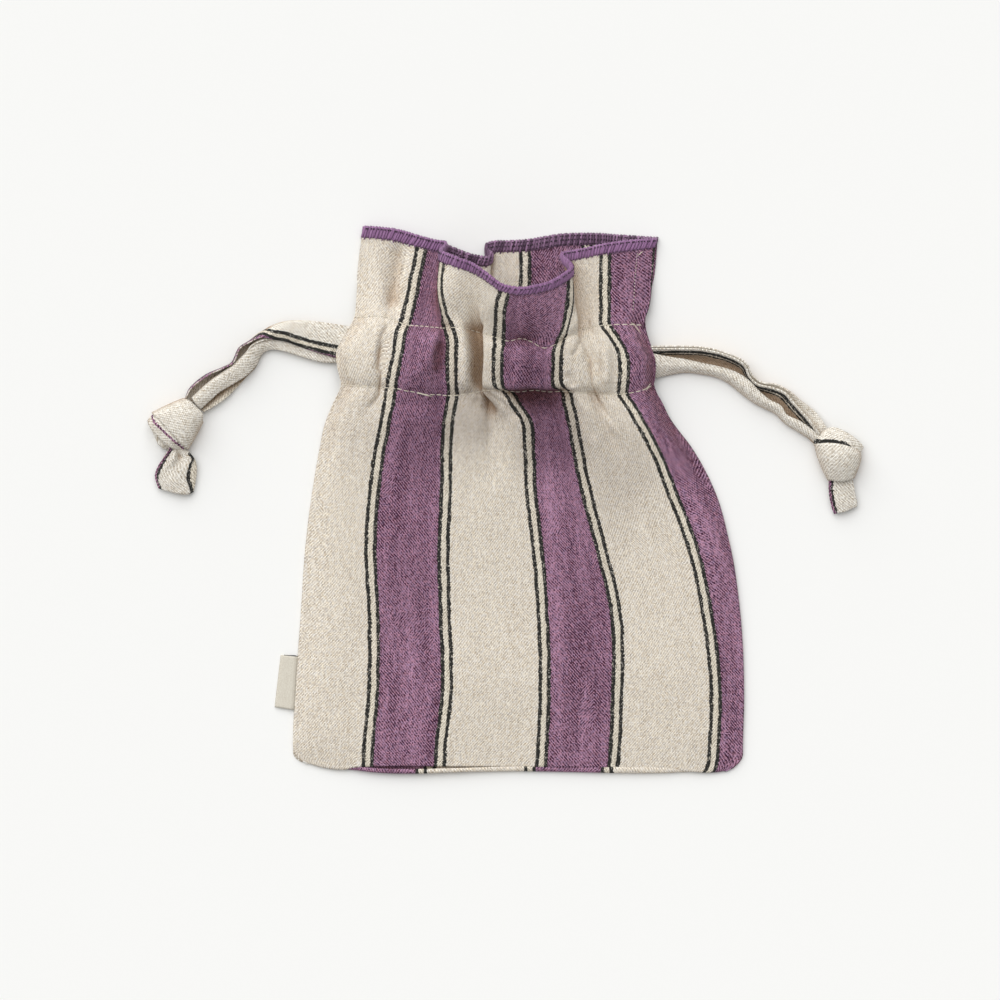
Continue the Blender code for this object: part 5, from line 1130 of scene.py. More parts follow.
    def shaded(self, loom: Loom, colour: Socket) -> Socket:
        """Colour with painted shade in the needle holes of the stitching, on slopes and in folds.

        Args:
            loom: The material's loom.
            colour: Colour of the clean cloth.

        Returns:
            The colour.
        """
        # Painted shade: dark dots where the needle pierces the cloth along each row of stitching
        for place in self.row_places:
            near = loom.maths("COMPARE", loom.y, place, 0.2)
            hole = loom.maths("LESS_THAN", loom.maths("FRACT", loom.maths(
                "DIVIDE", loom.x, STITCH_PITCH)), 0.13)
            colour = loom.mixed(loom.times(loom.times(near, hole), 0.8), colour, self.needle_hole_shade)
        # Painted shade: darker on the slopes and in the folds that the mesh attributes mark
        slopes = loom.times(loom.attribute(SLOPE_NAME), 1.0, clamp=True)
        colour = loom.mixed(slopes, colour, self.slope_shade_tint, "MULTIPLY")
        folds = loom.plus(loom.attribute(FOLD_NAME), 2.5, -0.2, clamp=True)
        return loom.mixed(folds, colour, self.fold_shade_tint, "MULTIPLY")

    def make(self) -> Finish:
        """Build the material.

        Returns:
            The material.
        """
        loom = Loom(self.name, self.warp, self.weft)
        dyes = self.dyes(loom)
        over = self.twill(loom, dyes[Dye.PURPLE])
        colour = self.shaded(loom, self.dyed(loom, dyes, over))
        warp, weft = (loom.half_wave(loom.maths("DIVIDE", place, pitch))
                      for place, pitch in ((loom.x, self.warp), (loom.y, self.weft)))
        loom.relief(loom.plus(loom.fleck, 0.5, loom.blended(over, warp, weft)), 0.00005, 0.6)
        loom.surface(colour, 0.92, 0.05, 0.12)
        return loom.material


@dataclass(frozen=True)
class TwistedThread:
    """Sewing thread: a plain colour with the ply's fine streaks along it."""

    name: str
    light: Colour
    dark: Colour
    uneven: float = 0.3
    roughness: float = 0.6
    sheen: float = 0.2
    fuzz: Pattern = Pattern(4.0, 1.4)

    def make(self) -> Finish:
        """Build the material from streaks that run along each thread.

        Returns:
            The material.
        """
        bench = Bench(self.name)
        cloth = bench.uv()
        x, y = bench.split(cloth)
        ply = bench.maths("SINE", bench.plus(y, 9.0, bench.times(x, 14.0)))
        own = bench.chance(bench.maths("FLOOR", bench.plus(x, 0.5, 0.5)), 0.0, 9.0)
        share = bench.plus(self.fuzz.on(bench, cloth), 1.0, -self.uneven / 2)
        share = bench.plus(ply, 0.16, bench.plus(own, self.uneven, share), clamp=True)
        bench.relief(ply, 0.00004, 0.5)
        bench.surface(bench.mixed(share, self.dark, self.light), self.roughness, self.sheen, 0.3)
        return bench.material


@dataclass(frozen=True)
class PlainWeave:
    """A plain woven cloth or ribbon."""

    name: str
    light: Colour
    dark: Colour
    pitch: float = 0.36
    along: float = 1.0
    roughness: float = 0.9

    def make(self) -> Finish:
        """Build the material from crossing yarns with random tones.

        Returns:
            The material.
        """
        bench = Bench(self.name)
        x, y = bench.split(bench.uv(UV_SPAN / self.pitch, UV_SPAN / self.pitch * self.along))
        column, row = bench.maths("FLOOR", x), bench.maths("FLOOR", y)
        over = bench.maths("FLOORED_MODULO", bench.maths("ADD", column, row), 2.0)
        lines = bench.times(bench.chance(column, 0.0, 4.0), 0.3)
        share = bench.plus(bench.chance(column, row, 2.0), 0.45, lines)
        share = bench.plus(over, 0.2, share, clamp=True)
        bench.relief(bench.times(bench.half_wave(x), bench.half_wave(y)), 0.00006, 0.6)
        bench.surface(bench.mixed(share, self.light, self.dark), self.roughness, 0.1, 0.2)
        return bench.material


def pair_bands(pairs: Bands, line: float = 1.42, gap: float = 1.85) -> Bands:
    """Bands of a panel's cloth: natural first, and each pair of black lines with white between.

    Args:
        pairs: Middle of each pair in millimetres, and what follows it.
        line: Width of a black line.
        gap: Width of the white between.

    Returns:
        The bands.
    """
    bands = [(0.0, Dye.NATURAL)]
    for middle, after in pairs:
        bands.append((middle - gap / 2 - line, Dye.BLACK))
        bands.append((middle - gap / 2, Dye.WHITE))
        bands.append((middle + gap / 2, Dye.BLACK))
        bands.append((middle + gap / 2 + line, after))
    return tuple(bands)


# Dyes that follow the five pairs of lines, and the seam allowance past the front's last band
PAIR_DYES = (Dye.PURPLE, Dye.NATURAL, Dye.PURPLE, Dye.NATURAL, Dye.PURPLE)
FRONT_PRINT_END = ((168.0, Dye.NATURAL),)

CORD_PRINTS: dict[str, Bands] = {
    "left_over": ((0.0, Dye.PURPLE), (1.0, Dye.BLACK), (2.3, Dye.WHITE), (3.5, Dye.BLACK),
                  (4.9, Dye.NATURAL)),
    "left_under": ((0.0, Dye.NATURAL), (40.0, Dye.WHITE)),
    "right_over": ((0.0, Dye.NATURAL), (1.1, Dye.BLACK), (2.8, Dye.WHITE), (3.3, Dye.BLACK),
                   (4.1, Dye.NATURAL)),
    "right_under": ((0.0, Dye.NATURAL), (40.0, Dye.WHITE)),
    "plain": ((0.0, Dye.NATURAL), (90.0, Dye.WHITE)),
    "left_second": ((0.0, Dye.NATURAL), (2.5, Dye.PURPLE), (3.3, Dye.NATURAL)),
    "right_second": ((0.0, Dye.NATURAL), (0.4, Dye.BLACK), (2.4, Dye.NATURAL)),
    "left_tail": ((0.0, Dye.PURPLE), (0.9, Dye.BLACK), (1.7, Dye.NATURAL), (11.9, Dye.BLACK),
                  (13.4, Dye.WHITE)),
    "right_tail": ((0.0, Dye.PURPLE), (1.0, Dye.BLACK), (1.8, Dye.NATURAL)),
}


@dataclass(frozen=True)
class Palette:
    """Every finish of the pouch, each made once."""

    panel: dict[Face, Finish]
    overcast: dict[Face, Finish]
    overcast_shade: Finish
    strip: Finish
    cream: Finish
    label: Finish
    label_inside: Finish
    cord: dict[str, Finish]

    @classmethod
    def filled(cls) -> "Palette":
        """Make all the materials.

        Returns:
            The palette.
        """
        front, back = (tuple((place * PLAN_MM, dye) for place, dye in zip(pairs, PAIR_DYES))
                       for pairs in (FRONT_PAIRS, BACK_PAIRS))
        front_linen = StripedLinen("Striped linen front", pair_bands(front + FRONT_PRINT_END),
                                   row_places=(LOWER_ROW, UPPER_ROW))
        back_linen = StripedLinen("Striped linen back", pair_bands(back))
        overcast = TwistedThread("Overcast thread", tone(172, 128, 172), tone(100, 62, 100), 0.4)
        # Painted shade: the back's overcast thread is a darker copy of the front's, for the shade inside the
        # mouth
        overcast_inside_shaded = TwistedThread("Overcast thread inside painted shade", tone(160, 122, 156), tone(58, 34, 56), 0.8)
        # Painted light: the cord tapes take paler natural tones than the panels, to offset the shade on the
        # knots
        cord = {name: StripedLinen(f"Cord tape {name.replace('_', ' ')}", bands, warp=0.39, weft=0.46,
                                   natural_warm=(tone(176, 158, 132), tone(255, 251, 240)),
                                   natural_cool=(tone(160, 151, 138), tone(253, 250, 243))).make()
                for name, bands in CORD_PRINTS.items()}
        return cls(
            panel={Face.FRONT: front_linen.make(), Face.BACK: back_linen.make()},
            overcast={Face.FRONT: overcast.make(), Face.BACK: overcast_inside_shaded.make()},
            # Painted shade: the dark thread of the edge's knots stands for the shade between its loops
            overcast_shade=TwistedThread("Overcast knot painted shade", tone(74, 44, 72), tone(36, 20, 36)).make(),
            strip=PlainWeave("Plain linen strip", tone(220, 211, 195), tone(186, 172, 152)).make(),
            cream=TwistedThread("Cream sewing thread", tone(238, 232, 216), tone(204, 194, 172)).make(),
            label=PlainWeave("Label weave", tone(226, 221, 208), tone(200, 192, 176), 0.22, 0.6).make(),
            label_inside=PlainWeave("Label opening painted shade", tone(72, 70, 74), tone(40, 38, 42)).make(),
            cord=cord)


@dataclass
class Surface:
    """A panel's middle surface, read at any place on it."""

    grid: Grid
    shares: Grid
    heights: Grid
    normals: Grid = field(init=False)

    def __post_init__(self) -> None:
        """Work out the normals once."""
        self.normals = grid_normals(self.grid)

    def at(self, shares: Grid, heights: Grid) -> tuple[Grid, Grid]:
        """Points and normals at places of the cloth.

        Args:
            shares: Places across the panel, 0 at the left seam and 1 at the right.
            heights: Heights up the cloth in millimetres.

        Returns:
            The points and the unit normals.
        """
        column = np.interp(shares, self.shares, np.arange(len(self.shares)))
        row = np.interp(heights, self.heights, np.arange(len(self.heights)))
        i = np.clip(column.astype(int), 0, len(self.shares) - 2)
        j = np.clip(row.astype(int), 0, len(self.heights) - 2)
        s = (column - i)[:, None]
        t = (row - j)[:, None]

        def between(values: Grid) -> Grid:
            """A grid's value between its four nearest points."""
            low, high = (values[level, i] * (1 - s) + values[level, i + 1] * s for level in (j, j + 1))
            return low * (1 - t) + high * t

        return between(self.grid), unit(between(self.normals))


@dataclass(frozen=True)
class Shade:
    """A soft round area of painted shade on slopes, or of less painted shade in folds, beyond what the folds
    about it give.
    """

    x: float
    y: float
    wide: float
    long: float
    slope: float = 0.0
    fold: float = 0.0

    def at(self, plan: Grid) -> Grid:
        """How much of the shade lies on each plan point."""
        return np.exp(-((plan[..., 0] - self.x) / self.wide)**2 - ((plan[..., 1] - self.y) / self.long)**2)


@dataclass(frozen=True)
class Crease:
    """A fold that the gathering presses into the cloth along a line in plan."""

    line: Spots
    depth: float = 0.0
    width: float = 3.0
    step: float = 0.0
    reach: float = 10.0
    places: tuple[float, float] = (-20.0, 500.0)
    rows: tuple[float, float] = (0.0, 200.0)
    ends: float = 0.2

    def measured(self, plan: Grid) -> tuple[Grid, Grid]:
        """Where each point lies beside the crease's line and along it.

        Args:
            plan: Plan points.

        Returns:
            Distance from the line, negative on its left, and share of its length.
        """
        corners = np.array(self.line, float)
        runs = run_lengths(corners)
        nearest = np.full(plan.shape[:2], np.inf)
        side = np.zeros(plan.shape[:2])
        along = np.zeros(plan.shape[:2])
        for run, first, second in zip(runs, corners, corners[1:]):
            way = second - first
            length = float(np.hypot(*way))
            offset = plan[..., :2] - first
            share = np.clip((offset @ way) / length**2, 0.0, 1.0)
            apart = np.linalg.norm(offset - share[..., None] * way, axis=2)
            closer = apart < nearest
            nearest = np.where(closer, apart, nearest)
            side = np.where(closer, np.sign(way[0] * offset[..., 1] - way[1] * offset[..., 0]), side)
            along = np.where(closer, (run + share * length) / runs[-1], along)
        return nearest * side, along

    def heights(self, plan: Grid, places: Grid, rows: Grid) -> Grid:
        """How far the crease lifts each point, in millimetres.

        Args:
            plan: Plan points.
            places: Place of each point across the printed cloth.
            rows: Height of each point up the cloth.

        Returns:
            One lift for each point.
        """
        apart, along = self.measured(plan)
        fade = eased(np.clip(from_edge(along) / self.ends, 0.0, 1.0))
        for values, (start, end), soft in ((places, self.places, 4.0), (rows, self.rows, 2.0)):
            fade = fade * np.clip(np.minimum(values - start, end - values) / soft, 0.0, 1.0)
        turn = eased(np.clip((apart + self.width) / (2.0 * self.width), 0.0, 1.0))
        lift = self.depth * np.exp(-(apart / self.width)**2)
        return fade * (lift + self.step * turn * np.exp(-np.maximum(apart, 0.0) / self.reach))


# Loose ends of thread: (share across the panel, height up the cloth) along each, and its radius
LOOSE_THREADS = (
    (((0.206, 136.3), (0.218, 136.0), (0.232, 135.6), (0.246, 135.3)), 0.24),
    (((0.966, 183.6), (0.9685, 184.2), (0.972, 184.9), (0.975, 185.2)), 0.17),
    (((0.985, 137.2), (0.979, 136.4), (0.972, 136.0), (0.965, 136.3)), 0.19),
    (((0.99, 138.5), (0.984, 137.4), (0.981, 136.1), (0.974, 135.2)), 0.17),
    (((0.986, 156.2), (0.979, 157.5), (0.974, 158.6), (0.968, 159.0)), 0.19),
    (((0.146, 160.6), (0.149, 159.0), (0.155, 158.3), (0.160, 159.0)), 0.15),
)

FRONT_CREASES = (
    # The left puff of the channel laps over a sharp fold
    Crease(((391.6, 319.5), (382.4, 333.3), (379, 342.5), (377.2, 359.7), (376.7, 369), (380, 374.6),
            (379, 385), (377.8, 395.3), (371, 404.5), (365, 410)),
           -1.3, 2.0, 1.4, 12.0, (20, 76), (116, 163), 0.12),
    Crease(((400, 240), (397, 275), (391, 314)), -2.0, 6.0, places=(40, 76), rows=(155, 192)),
    # Facets of the first dark stripe
    Crease(((442, 330), (432, 345), (429, 361), (420, 371), (408, 382)), 0.9, 3.5, places=(76, 146)),
    Crease(((441, 340), (438, 358), (436, 378)), -1.6, 5.0, places=(100, 152), rows=(134, 160)),
    Crease(((395, 402), (420, 404), (447, 407)), -1.7, 9.0, places=(72, 152), rows=(112, 138)),
    # The lower end of the knife pleat
    Crease(((477, 379), (489, 392), (508, 405), (520, 420)),
           -0.4, 2.0, -1.7, 12.0, (186, 262), (112, 139), 0.15),
    Crease(((470, 398), (484, 404), (500, 414)), -1.4, 8.0, places=(150, 232), rows=(112, 138)),
    # The second dark stripe hangs over a deep shade
    Crease(((508, 368), (530, 370), (556, 372)), 1.6, 15.0, places=(246, 322), rows=(137, 165)),
    Crease(((541, 349), (535, 357), (532.5, 366), (535, 378), (540, 389)),
           -0.5, 1.8, -1.0, 9.0, (262, 316), (137, 158), 0.15),
    Crease(((508, 397), (528, 398), (550, 399), (566, 402)), -1.2, 9.0, places=(250, 322), rows=(112, 139)),
    # The bulge, the hollow and the long fold of the third pale stripe
    Crease(((580, 340), (577, 350), (571, 358)), -1.4, 2.2, places=(322, 380), rows=(140, 162)),
    Crease(((579, 340), (583.5, 347), (589, 361), (591, 384), (594.7, 393.5), (602, 408), (612, 422),
            (621, 434)), -0.9, 2.2, 1.3, 11.0, (322, 420), (108, 162), 0.14),
    Crease(((565, 373), (571, 379), (573, 388)), -1.2, 4.0, places=(316, 352), rows=(134, 148)),
    Crease(((572, 396), (580, 414), (596, 442)), -1.3, 5.0, places=(318, 378), rows=(108, 137)),
    Crease(((601, 345), (606, 365), (607, 388)), 0.9, 6.0, places=(372, 418), rows=(134, 158)),
    Crease(((628, 345), (634, 362), (632, 384)), 0.9, 8.0, places=(415, 446), rows=(134, 158)),
)

# Painted shade: soft areas darkened as shade on slopes, and areas where the painted fold shade is lessened
# (fold below zero)
SHADES = {
    Face.FRONT: (
        Shade(462, 416, 46, 40, slope=0.7), Shade(411, 445, 28, 50, slope=0.62),
        Shade(556, 442, 34, 36, slope=1.0), Shade(625, 472, 34, 48, slope=0.42),
        Shade(355, 430, 30, 50, slope=0.16), Shade(412, 596, 30, 60, slope=0.4),
        Shade(580, 610, 34, 130, slope=0.26), Shade(530, 370, 36, 14, slope=0.45),
        Shade(632, 290, 22, 40, slope=0.4), Shade(430, 256, 13, 34, fold=-0.42),
        Shade(490, 308, 13, 30, fold=-0.3), Shade(538, 298, 40, 30, fold=-0.15),
        Shade(586, 358, 14, 30, fold=-0.15), Shade(582, 290, 14, 40, fold=-0.12),
        Shade(538, 404, 32, 16, slope=0.5), Shade(420, 306, 12, 24, slope=0.4),
        Shade(530, 372, 34, 12, slope=0.35), Shade(430, 376, 20, 18, slope=0.3)),
    Face.BACK: (Shade(560, 270, 60, 40, fold=-0.25),),
}


@dataclass
class Panels:
    """The front and back panels of the pouch; sizes in millimetres, places across the cloth in plan units."""

    palette: Palette
    cloth: float = 0.5
    corner: float = 5.5             # radius of the bottom corners
    corner_share: float = 0.13      # how far across the panel the rounding of a corner is felt
    turn: float = 0.9               # width of the rounded edge beside each seam
    seam_height: float = 0.8
    seam_gap: float = 0.26
    back_level: float = 0.3
    pleated: Spots = ((46.0, 62.0), (176.0, 240.0), (336.0, 366.0))
    pleated_step: float = 1.4
    plain_step: float = 2.1
    row_steps: Spots = ((6.0, 0.6), (84.0, 2.4), (124.0, 1.1), (164.0, 0.6), (TOP, 0.72))
    surfaces: dict[Face, Surface] = field(default_factory=dict)
    pieces: dict[Face, Piece] = field(default_factory=dict)

    def shares(self) -> Grid:
        """Places of the columns, closer together where the cloth is pleated.

        Returns:
            Shares of the panel's width.
        """
        places = [0.0]
        while places[-1] < PANEL_UNITS:
            close = any(low <= places[-1] < high for low, high in self.pleated)
            places.append(places[-1] + (self.pleated_step if close else self.plain_step))
        places[-1] = PANEL_UNITS
        return np.array(places) / PANEL_UNITS

    def heights(self, start: float) -> Grid:
        """Heights of the rows, closer together about the neck.

        Args:
            start: The first row's height.

        Returns:
            The heights up to the top of the cloth.
        """
        rows = [start]
        while rows[-1] < CLOTH_TOP:
            rows.append(rows[-1] + next(step for below, step in self.row_steps if rows[-1] < below))
        rows[-1] = CLOTH_TOP
        return np.array(rows)

    def inside(self, shares: Grid) -> Grid:
        """Shares of the whole width, for shares between the two rounded edges."""
        edge = self.turn / PANEL_MM
        return edge + (1.0 - 2.0 * edge) * shares

    def loft(self, sections: tuple, shares: Grid, heights: Grid) -> Grid:
        """Middle surface of a panel.

        Args:
            sections: The panel's table of sections.
            shares: Places of the columns across the panel.
            heights: Heights of the rows up the cloth.

        Returns:
            Plan points, one row for each height.
        """
        lines = []
        for height, points in sections:
            seam = PRINT_SLANT * max(height, 0.0)
            ends = {L: seam, R: seam + PANEL_UNITS}
            knots = np.array([ends.get(place, place) for place, *_ in points])
            lines.append(((knots - seam) / PANEL_UNITS, np.array([point[1:] for point in points], float)))
        levels = [height for height, _ in sections]
        grid = np.empty((len(heights), len(shares), 3))
        inner = self.inside(shares)
        near_left, near_right = (np.clip(1.0 - share / self.corner_share, 0.0, 1.0)**2
                                 for share in (inner, 1.0 - inner))
        for index, height in enumerate(heights):
            rise = min(max(height, 0.0), self.corner)
            inset = (self.corner - math.sqrt(self.corner**2 - (self.corner - rise)**2)) / PANEL_MM
            places = inner + inset * (near_left - near_right)
            stack = np.array([cubic_through(knots, points, places) for knots, points in lines])
            grid[index] = cubic_through(levels, stack, np.array([height]))[0]
        return grid

    def with_edges(self, plan: Grid, heights: Grid, end: float) -> Grid:
        """The grid with three more columns at each side, rounding over to the seam where it is sewn.

        Args:
            plan: Plan points of the panel.
            heights: Heights of its rows.
            end: Height of the seam's middle for this panel.

        Returns:
            The wider grid.
        """
        sewn = np.interp(heights, (122.0, 133.0), (1.0, 0.0)) * (heights > -0.5)
        sides = []
        for side, direction in ((0, -1.0), (-1, 1.0)):
            columns = []
            for share in EDGE_STEPS:
                edge = plan[:, side].copy()
                edge[:, 0] += direction * self.turn / PLAN_MM * share
                edge[:, 2] += sewn * (1.0 - math.sqrt(1.0 - share**2)) * (end - edge[:, 2])
                columns.append(edge)
            sides.append(np.stack(columns if side else columns[::-1], axis=1))
        return np.concatenate((sides[0], plan, sides[1]), axis=1)

    def small_folds(self, shares: Grid, heights: Grid) -> Grid:
        """Small folds of the front panel that its sections leave out.

        Args:
            shares: Places of the columns.
            heights: Heights of the rows.

        Returns:
            A lift for each point.
        """
        places = print_places(shares, heights)
        rows = np.broadcast_to(heights[:, None], places.shape)
        gather = np.interp(rows, (96, 124, 135, 147, 159, 170, 190), (0.0, 0.6, 1.0, 0.55, 1.0, 0.45, 0.15))
        folds = 0.28 * soft_noise(places / 55.0, rows / 34.0, 3)
        folds += gather * (0.5 * soft_noise(places / 9.5, rows / 13.0, 7)
                           + 0.24 * soft_noise(places / 5.0, rows / 8.0, 11))
        return folds * np.clip(from_edge(shares) * 30.0, 0.0, 1.0)

    def stitched(self, shares: Grid, heights: Grid) -> Grid:
        """Grooves that the rows of stitching pull into the front panel.

        Args:
            shares: Places of the columns.
            heights: Heights of the rows.

        Returns:
            A lift for each point, below zero.
        """
        groove = sum(np.exp(-((heights - row) / 0.55)**2) for row in (LOWER_ROW, UPPER_ROW))
        return -0.38 * groove[:, None] * np.clip(from_edge(shares) * 60.0, 0.0, 1.0)[None, :]

    def raise_front(self, plan: Grid, shares: Grid, heights: Grid) -> None:
        """Fill the front panel out a little, thin it towards its seams and press its folds in.

        Args:
            plan: Plan points of the panel, whose heights are changed.
            shares: Places of the columns.
            heights: Heights of the rows.
        """
        level = plan[..., 2]
        across = np.clip(8.0 * shares * (1.0 - shares), 0.0, 1.0)
        level += 0.3 * np.interp(heights, (24.0, 100.0), (0.0, 1.0))[:, None] * across[None, :]
        level *= np.interp(heights, (0.0, 8.0, 30.0), (0.68, 0.84, 1.0))[:, None]
        level *= 1.0 - 0.22 * np.exp(-(from_edge(shares) * 40.0)**2)
        level += self.small_folds(shares, heights) + self.stitched(shares, heights)
        places = print_places(shares, heights)
        rows = np.broadcast_to(heights[:, None], places.shape)
        level += sum(crease.heights(plan, places, rows) for crease in FRONT_CREASES)

    def raise_back(self, plan: Grid, shares: Grid, heights: Grid) -> None:
        """Lower the strip that the back panel rolls up round the bottom, and press its folds in.

        Args:
            plan: Plan points of the panel, whose heights are changed.
            shares: Places of the columns.
            heights: Heights of the rows.
        """
        level = plan[..., 2]
        level -= self.back_level
        level *= np.interp(heights, (-0.5, 0.5), (0.62, 1.0))[:, None]
        level += self.back_level
        growth = np.interp(heights, *zip(*BACK_FOLD_GROWTH))[:, None]
        for middle, half in BACK_FOLDS:
            reach = np.clip(np.abs(print_places(shares, heights) - middle) / half, 0.0, 1.0)
            level += BACK_FOLD_RISE * growth * np.cos(reach * math.pi / 2)**2

    def printed(self, plan: Grid, places: Grid, pairs: tuple[float, ...]) -> Grid:
        """Places of the print, with each pair of lines at its full width as seen from above.

        Args:
            plan: Plan points of the panel.
            places: Place of each point across the cloth.
            pairs: Places of the pairs.

        Returns:
            One place for each point.
        """
        moved = places.copy()
        for pair in pairs:
            middle = np.array([np.interp(pair, row, line) for row, line in zip(places, plan[..., 0])])
            apart = plan[..., 0] - middle[:, None]
            near = np.clip((15.0 - np.abs(apart)) / 7.0, 0.0, 1.0)
            near = near * np.clip((25.0 - np.abs(places - pair)) / 8.0, 0.0, 1.0)
            if pair in (P2, P4):
                levels = np.arange(len(places)) / len(places)
                near = near * np.interp(levels, (0.755, 0.79), (1.0, 0.25))[:, None]
            moved += eased(near) * (pair + apart / 0.95 - places)
        return moved

    def panel(self, face: Face, sections: tuple, pairs: tuple[float, ...]) -> None:
        """Build one panel.

        Args:
            face: Which one.
            sections: Its table of sections.
            pairs: Places of its pairs of lines.
        """
        shares = self.shares()
        heights = self.heights(sections[0][0])
        plan = self.loft(sections, shares, heights)
        if face is Face.FRONT:
            self.raise_front(plan, shares, heights)
            end = self.seam_height + self.seam_gap
        else:
            self.raise_back(plan, shares, heights)
            end = self.seam_height - self.seam_gap
        plan = self.with_edges(plan, heights, end)
        grid = plan_to_world(plan)
        grid[..., 2] = np.maximum(grid[..., 2], self.cloth * MILLI / 2)
        edge = self.turn / PANEL_MM
        sides = np.array(EDGE_STEPS) * edge
        wide = np.concatenate((edge - sides[::-1], self.inside(shares), 1.0 - edge + sides))
        places = self.printed(plan, print_places(wide, heights), pairs)
        cloth = flat_places(places * PLAN_MM, heights[:, None])
        shades = tuple(sum(getattr(shade, kind) * shade.at(plan) for shade in SHADES[face])
                       for kind in ("fold", "slope"))
        piece = cloth_shell(f"{face.value}_cloth", grid, self.cloth * MILLI, cloth, self.palette.panel[face],
                            shades=shades)
        self.pieces[face] = seat(piece, f"{face.value}_panel")
        self.surfaces[face] = Surface(grid, wide, heights)
        log.info("%s: %d by %d points", piece.name, *grid.shape[:2])

    def build(self) -> None:
        """Build both panels."""
        self.panel(Face.FRONT, FRONT_SECTIONS, FRONT_PAIRS)
        self.panel(Face.BACK, BACK_SECTIONS, BACK_PAIRS)

    def lowest(self, x: Grid, y: Grid, reach: float) -> Grid:
        """Height of the front panel's lowest layer over some plan points in the channel.

        Args:
            x: Plan x of the points.
            y: Plan y of the points.
            reach: How far around a point the panel is looked at, in plan units.

        Returns:
            Heights in millimetres.
        """
        front = self.surfaces[Face.FRONT]
        cloth = front.grid[(front.heights > 128.0) & (front.heights < 166.0)].reshape(-1, 3)
        spots = plan_to_world(np.stack((x, y, np.zeros_like(x)), axis=-1))
        found = np.empty(x.shape)
        for index in np.ndindex(x.shape):
            apart = np.hypot(cloth[:, 0] - spots[index][0], cloth[:, 1] - spots[index][1])
            near = apart < max(reach * PLAN_UNIT, float(apart.min()) + 1e-6)
            found[index] = cloth[near, 2].min() / MILLI
        return found


# Knots of the overcast edge: height up the cloth and half length of each, in millimetres
HEM_KNOTS = {
    Face.FRONT: ((TOP - 0.95, 0.28), (HEM_FROM + 0.15, 0.14)),
    Face.BACK: ((TOP - 0.8, 0.2), (TOP - 2.2, 0.3), (HEM_FROM + 0.6, 0.16)),
}
HEM_SEEDS = {Face.FRONT: 21, Face.BACK: 23}


@dataclass
class Hems:
    """The overcast thread bands along the panels' top edges; sizes in millimetres."""

    panels: Panels
    palette: Palette
    pitch: float = 1.08
    thickness: float = 0.9
    lean: float = 0.9               # how far a thread leans along the edge over the band's height
    edge: float = 0.62              # how far a thread's bend lies past the cloth
    floor: float = 0.24             # lowest middle of a thread
    knot_lift: float = 0.86
    profile: Spots = ((0.0, 0.62), (0.3, 0.8), (1.2, 1.0), (2.2, 1.0), (3.1, 0.95), (3.85, 0.75), (4.2, 0.4))
    rises: tuple[float, ...] = (0.0, 0.9, 2.0, 3.1, 3.85)
    lifts: tuple[float, ...] = (0.25, 0.56, 0.64, 0.62, 0.5)
    pieces: dict[Face, list[Piece]] = field(default_factory=dict)

    def band(self, face: Face, panel: Surface) -> Piece:
        """The ground band, thicker than the cloth and rounded along its edges.

        Args:
            face: Whose band it is.
            panel: That panel's surface.

        Returns:
            The piece.
        """
        rises, swells = np.array(self.profile).T
        heights = HEM_FROM + rises
        shares = panel.shares
        grid = np.stack([panel.at(shares, np.full(len(shares), min(height, CLOTH_TOP)))[0]
                         for height in heights])
        below = panel.at(shares, np.full(len(shares), TOP - 1.2))[0]
        past = np.maximum(heights - CLOTH_TOP, 0.0) * MILLI
        grid += unit(grid - below) * past[:, None, None]
        piece = cloth_shell(f"{face.value}_hem_ground", grid, swells * self.thickness * MILLI,
                            flat_places(shares * PANEL_MM, heights[:, None]), self.palette.overcast[face])
        return seat(piece, f"{face.value}_hem_overlock")

    def threads(self, face: Face, panel: Surface) -> list[Piece]:
        """The looping threads, each from the needle line up over the edge and down inside, and the knots.

        Args:
            face: Whose threads they are.
            panel: That panel's surface.

        Returns:
            The piece of the threads and that of the knots.
        """
        top, _ = panel.at(panel.shares, np.full(len(panel.shares), TOP - 0.5))
        run = run_lengths(top) / MILLI
        count = int(run[-1] / self.pitch)
        order = np.arange(count)
        wobble = lattice_value(order, order * 0, HEM_SEEDS[face])
        starts = np.interp((order + 0.5 + 0.22 * wobble[::-1]) * run[-1] / count, run, panel.shares)
        lean = self.lean / PANEL_MM
        rises = np.array(self.rises)
        lifts = np.array(self.lifts)[:, None] * MILLI
        threads, knots = Threads(), Threads()
        for index, (share, sway) in enumerate(zip(starts, wobble)):
            toes = HEM_FROM - 0.2 - 0.3 * (index % 2) + 0.25 * sway
            heights = toes + rises * (TOP - 0.6 - toes) / rises[-1]
            shares = share + lean * (heights - HEM_FROM) / HEM_HEIGHT * 1.3 - lean * 0.6
            middle, up = panel.at(np.clip(shares, 0.001, 0.999), heights)
            along = unit(middle[-1] - middle[-2])
            line = np.concatenate((middle + up * lifts, (middle[-1] + along * (self.edge * MILLI))[None],
                                   (middle - up * lifts)[::-1]))
            line[:, 2] = np.maximum(line[:, 2], self.floor * MILLI)
            threads.add(line, np.concatenate((up, along[None], -up[::-1])), 0.47 + 0.05 * sway,
                        0.2 + 0.04 * sway)
            beside = min(share + (0.5 * run[-1] / count + 0.7) / PANEL_MM, 0.998)
            for height, half in HEM_KNOTS[face]:
                levels = np.minimum(height + np.array((-half, 0.0, half)), TOP - 0.42)
                spot, way = panel.at(np.full(3, beside + 0.0012 * sway), levels)
                knots.add(spot + way * (self.knot_lift * MILLI), way, 0.36, 0.3)
        log.info("%s_hem: %d threads", face.value, count)
        finish = self.palette.overcast[face]
        # The knots take the dark thread, painted shade between the loops of the edge
        made = (threads.build(f"{face.value}_hem_threads", finish),
                knots.build(f"{face.value}_hem_knots", self.palette.overcast_shade))
        return [seat(piece) for piece in made]

    def build(self) -> None:
        """Build a ground band and its threads on each panel."""
        for face, panel in self.panels.surfaces.items():
            self.pieces[face] = [self.band(face, panel), *self.threads(face, panel)]


class Side(Enum):
    """Where a drawstring comes out of the channel, as the sign of its way along X."""

    LEFT = -1
    RIGHT = 1


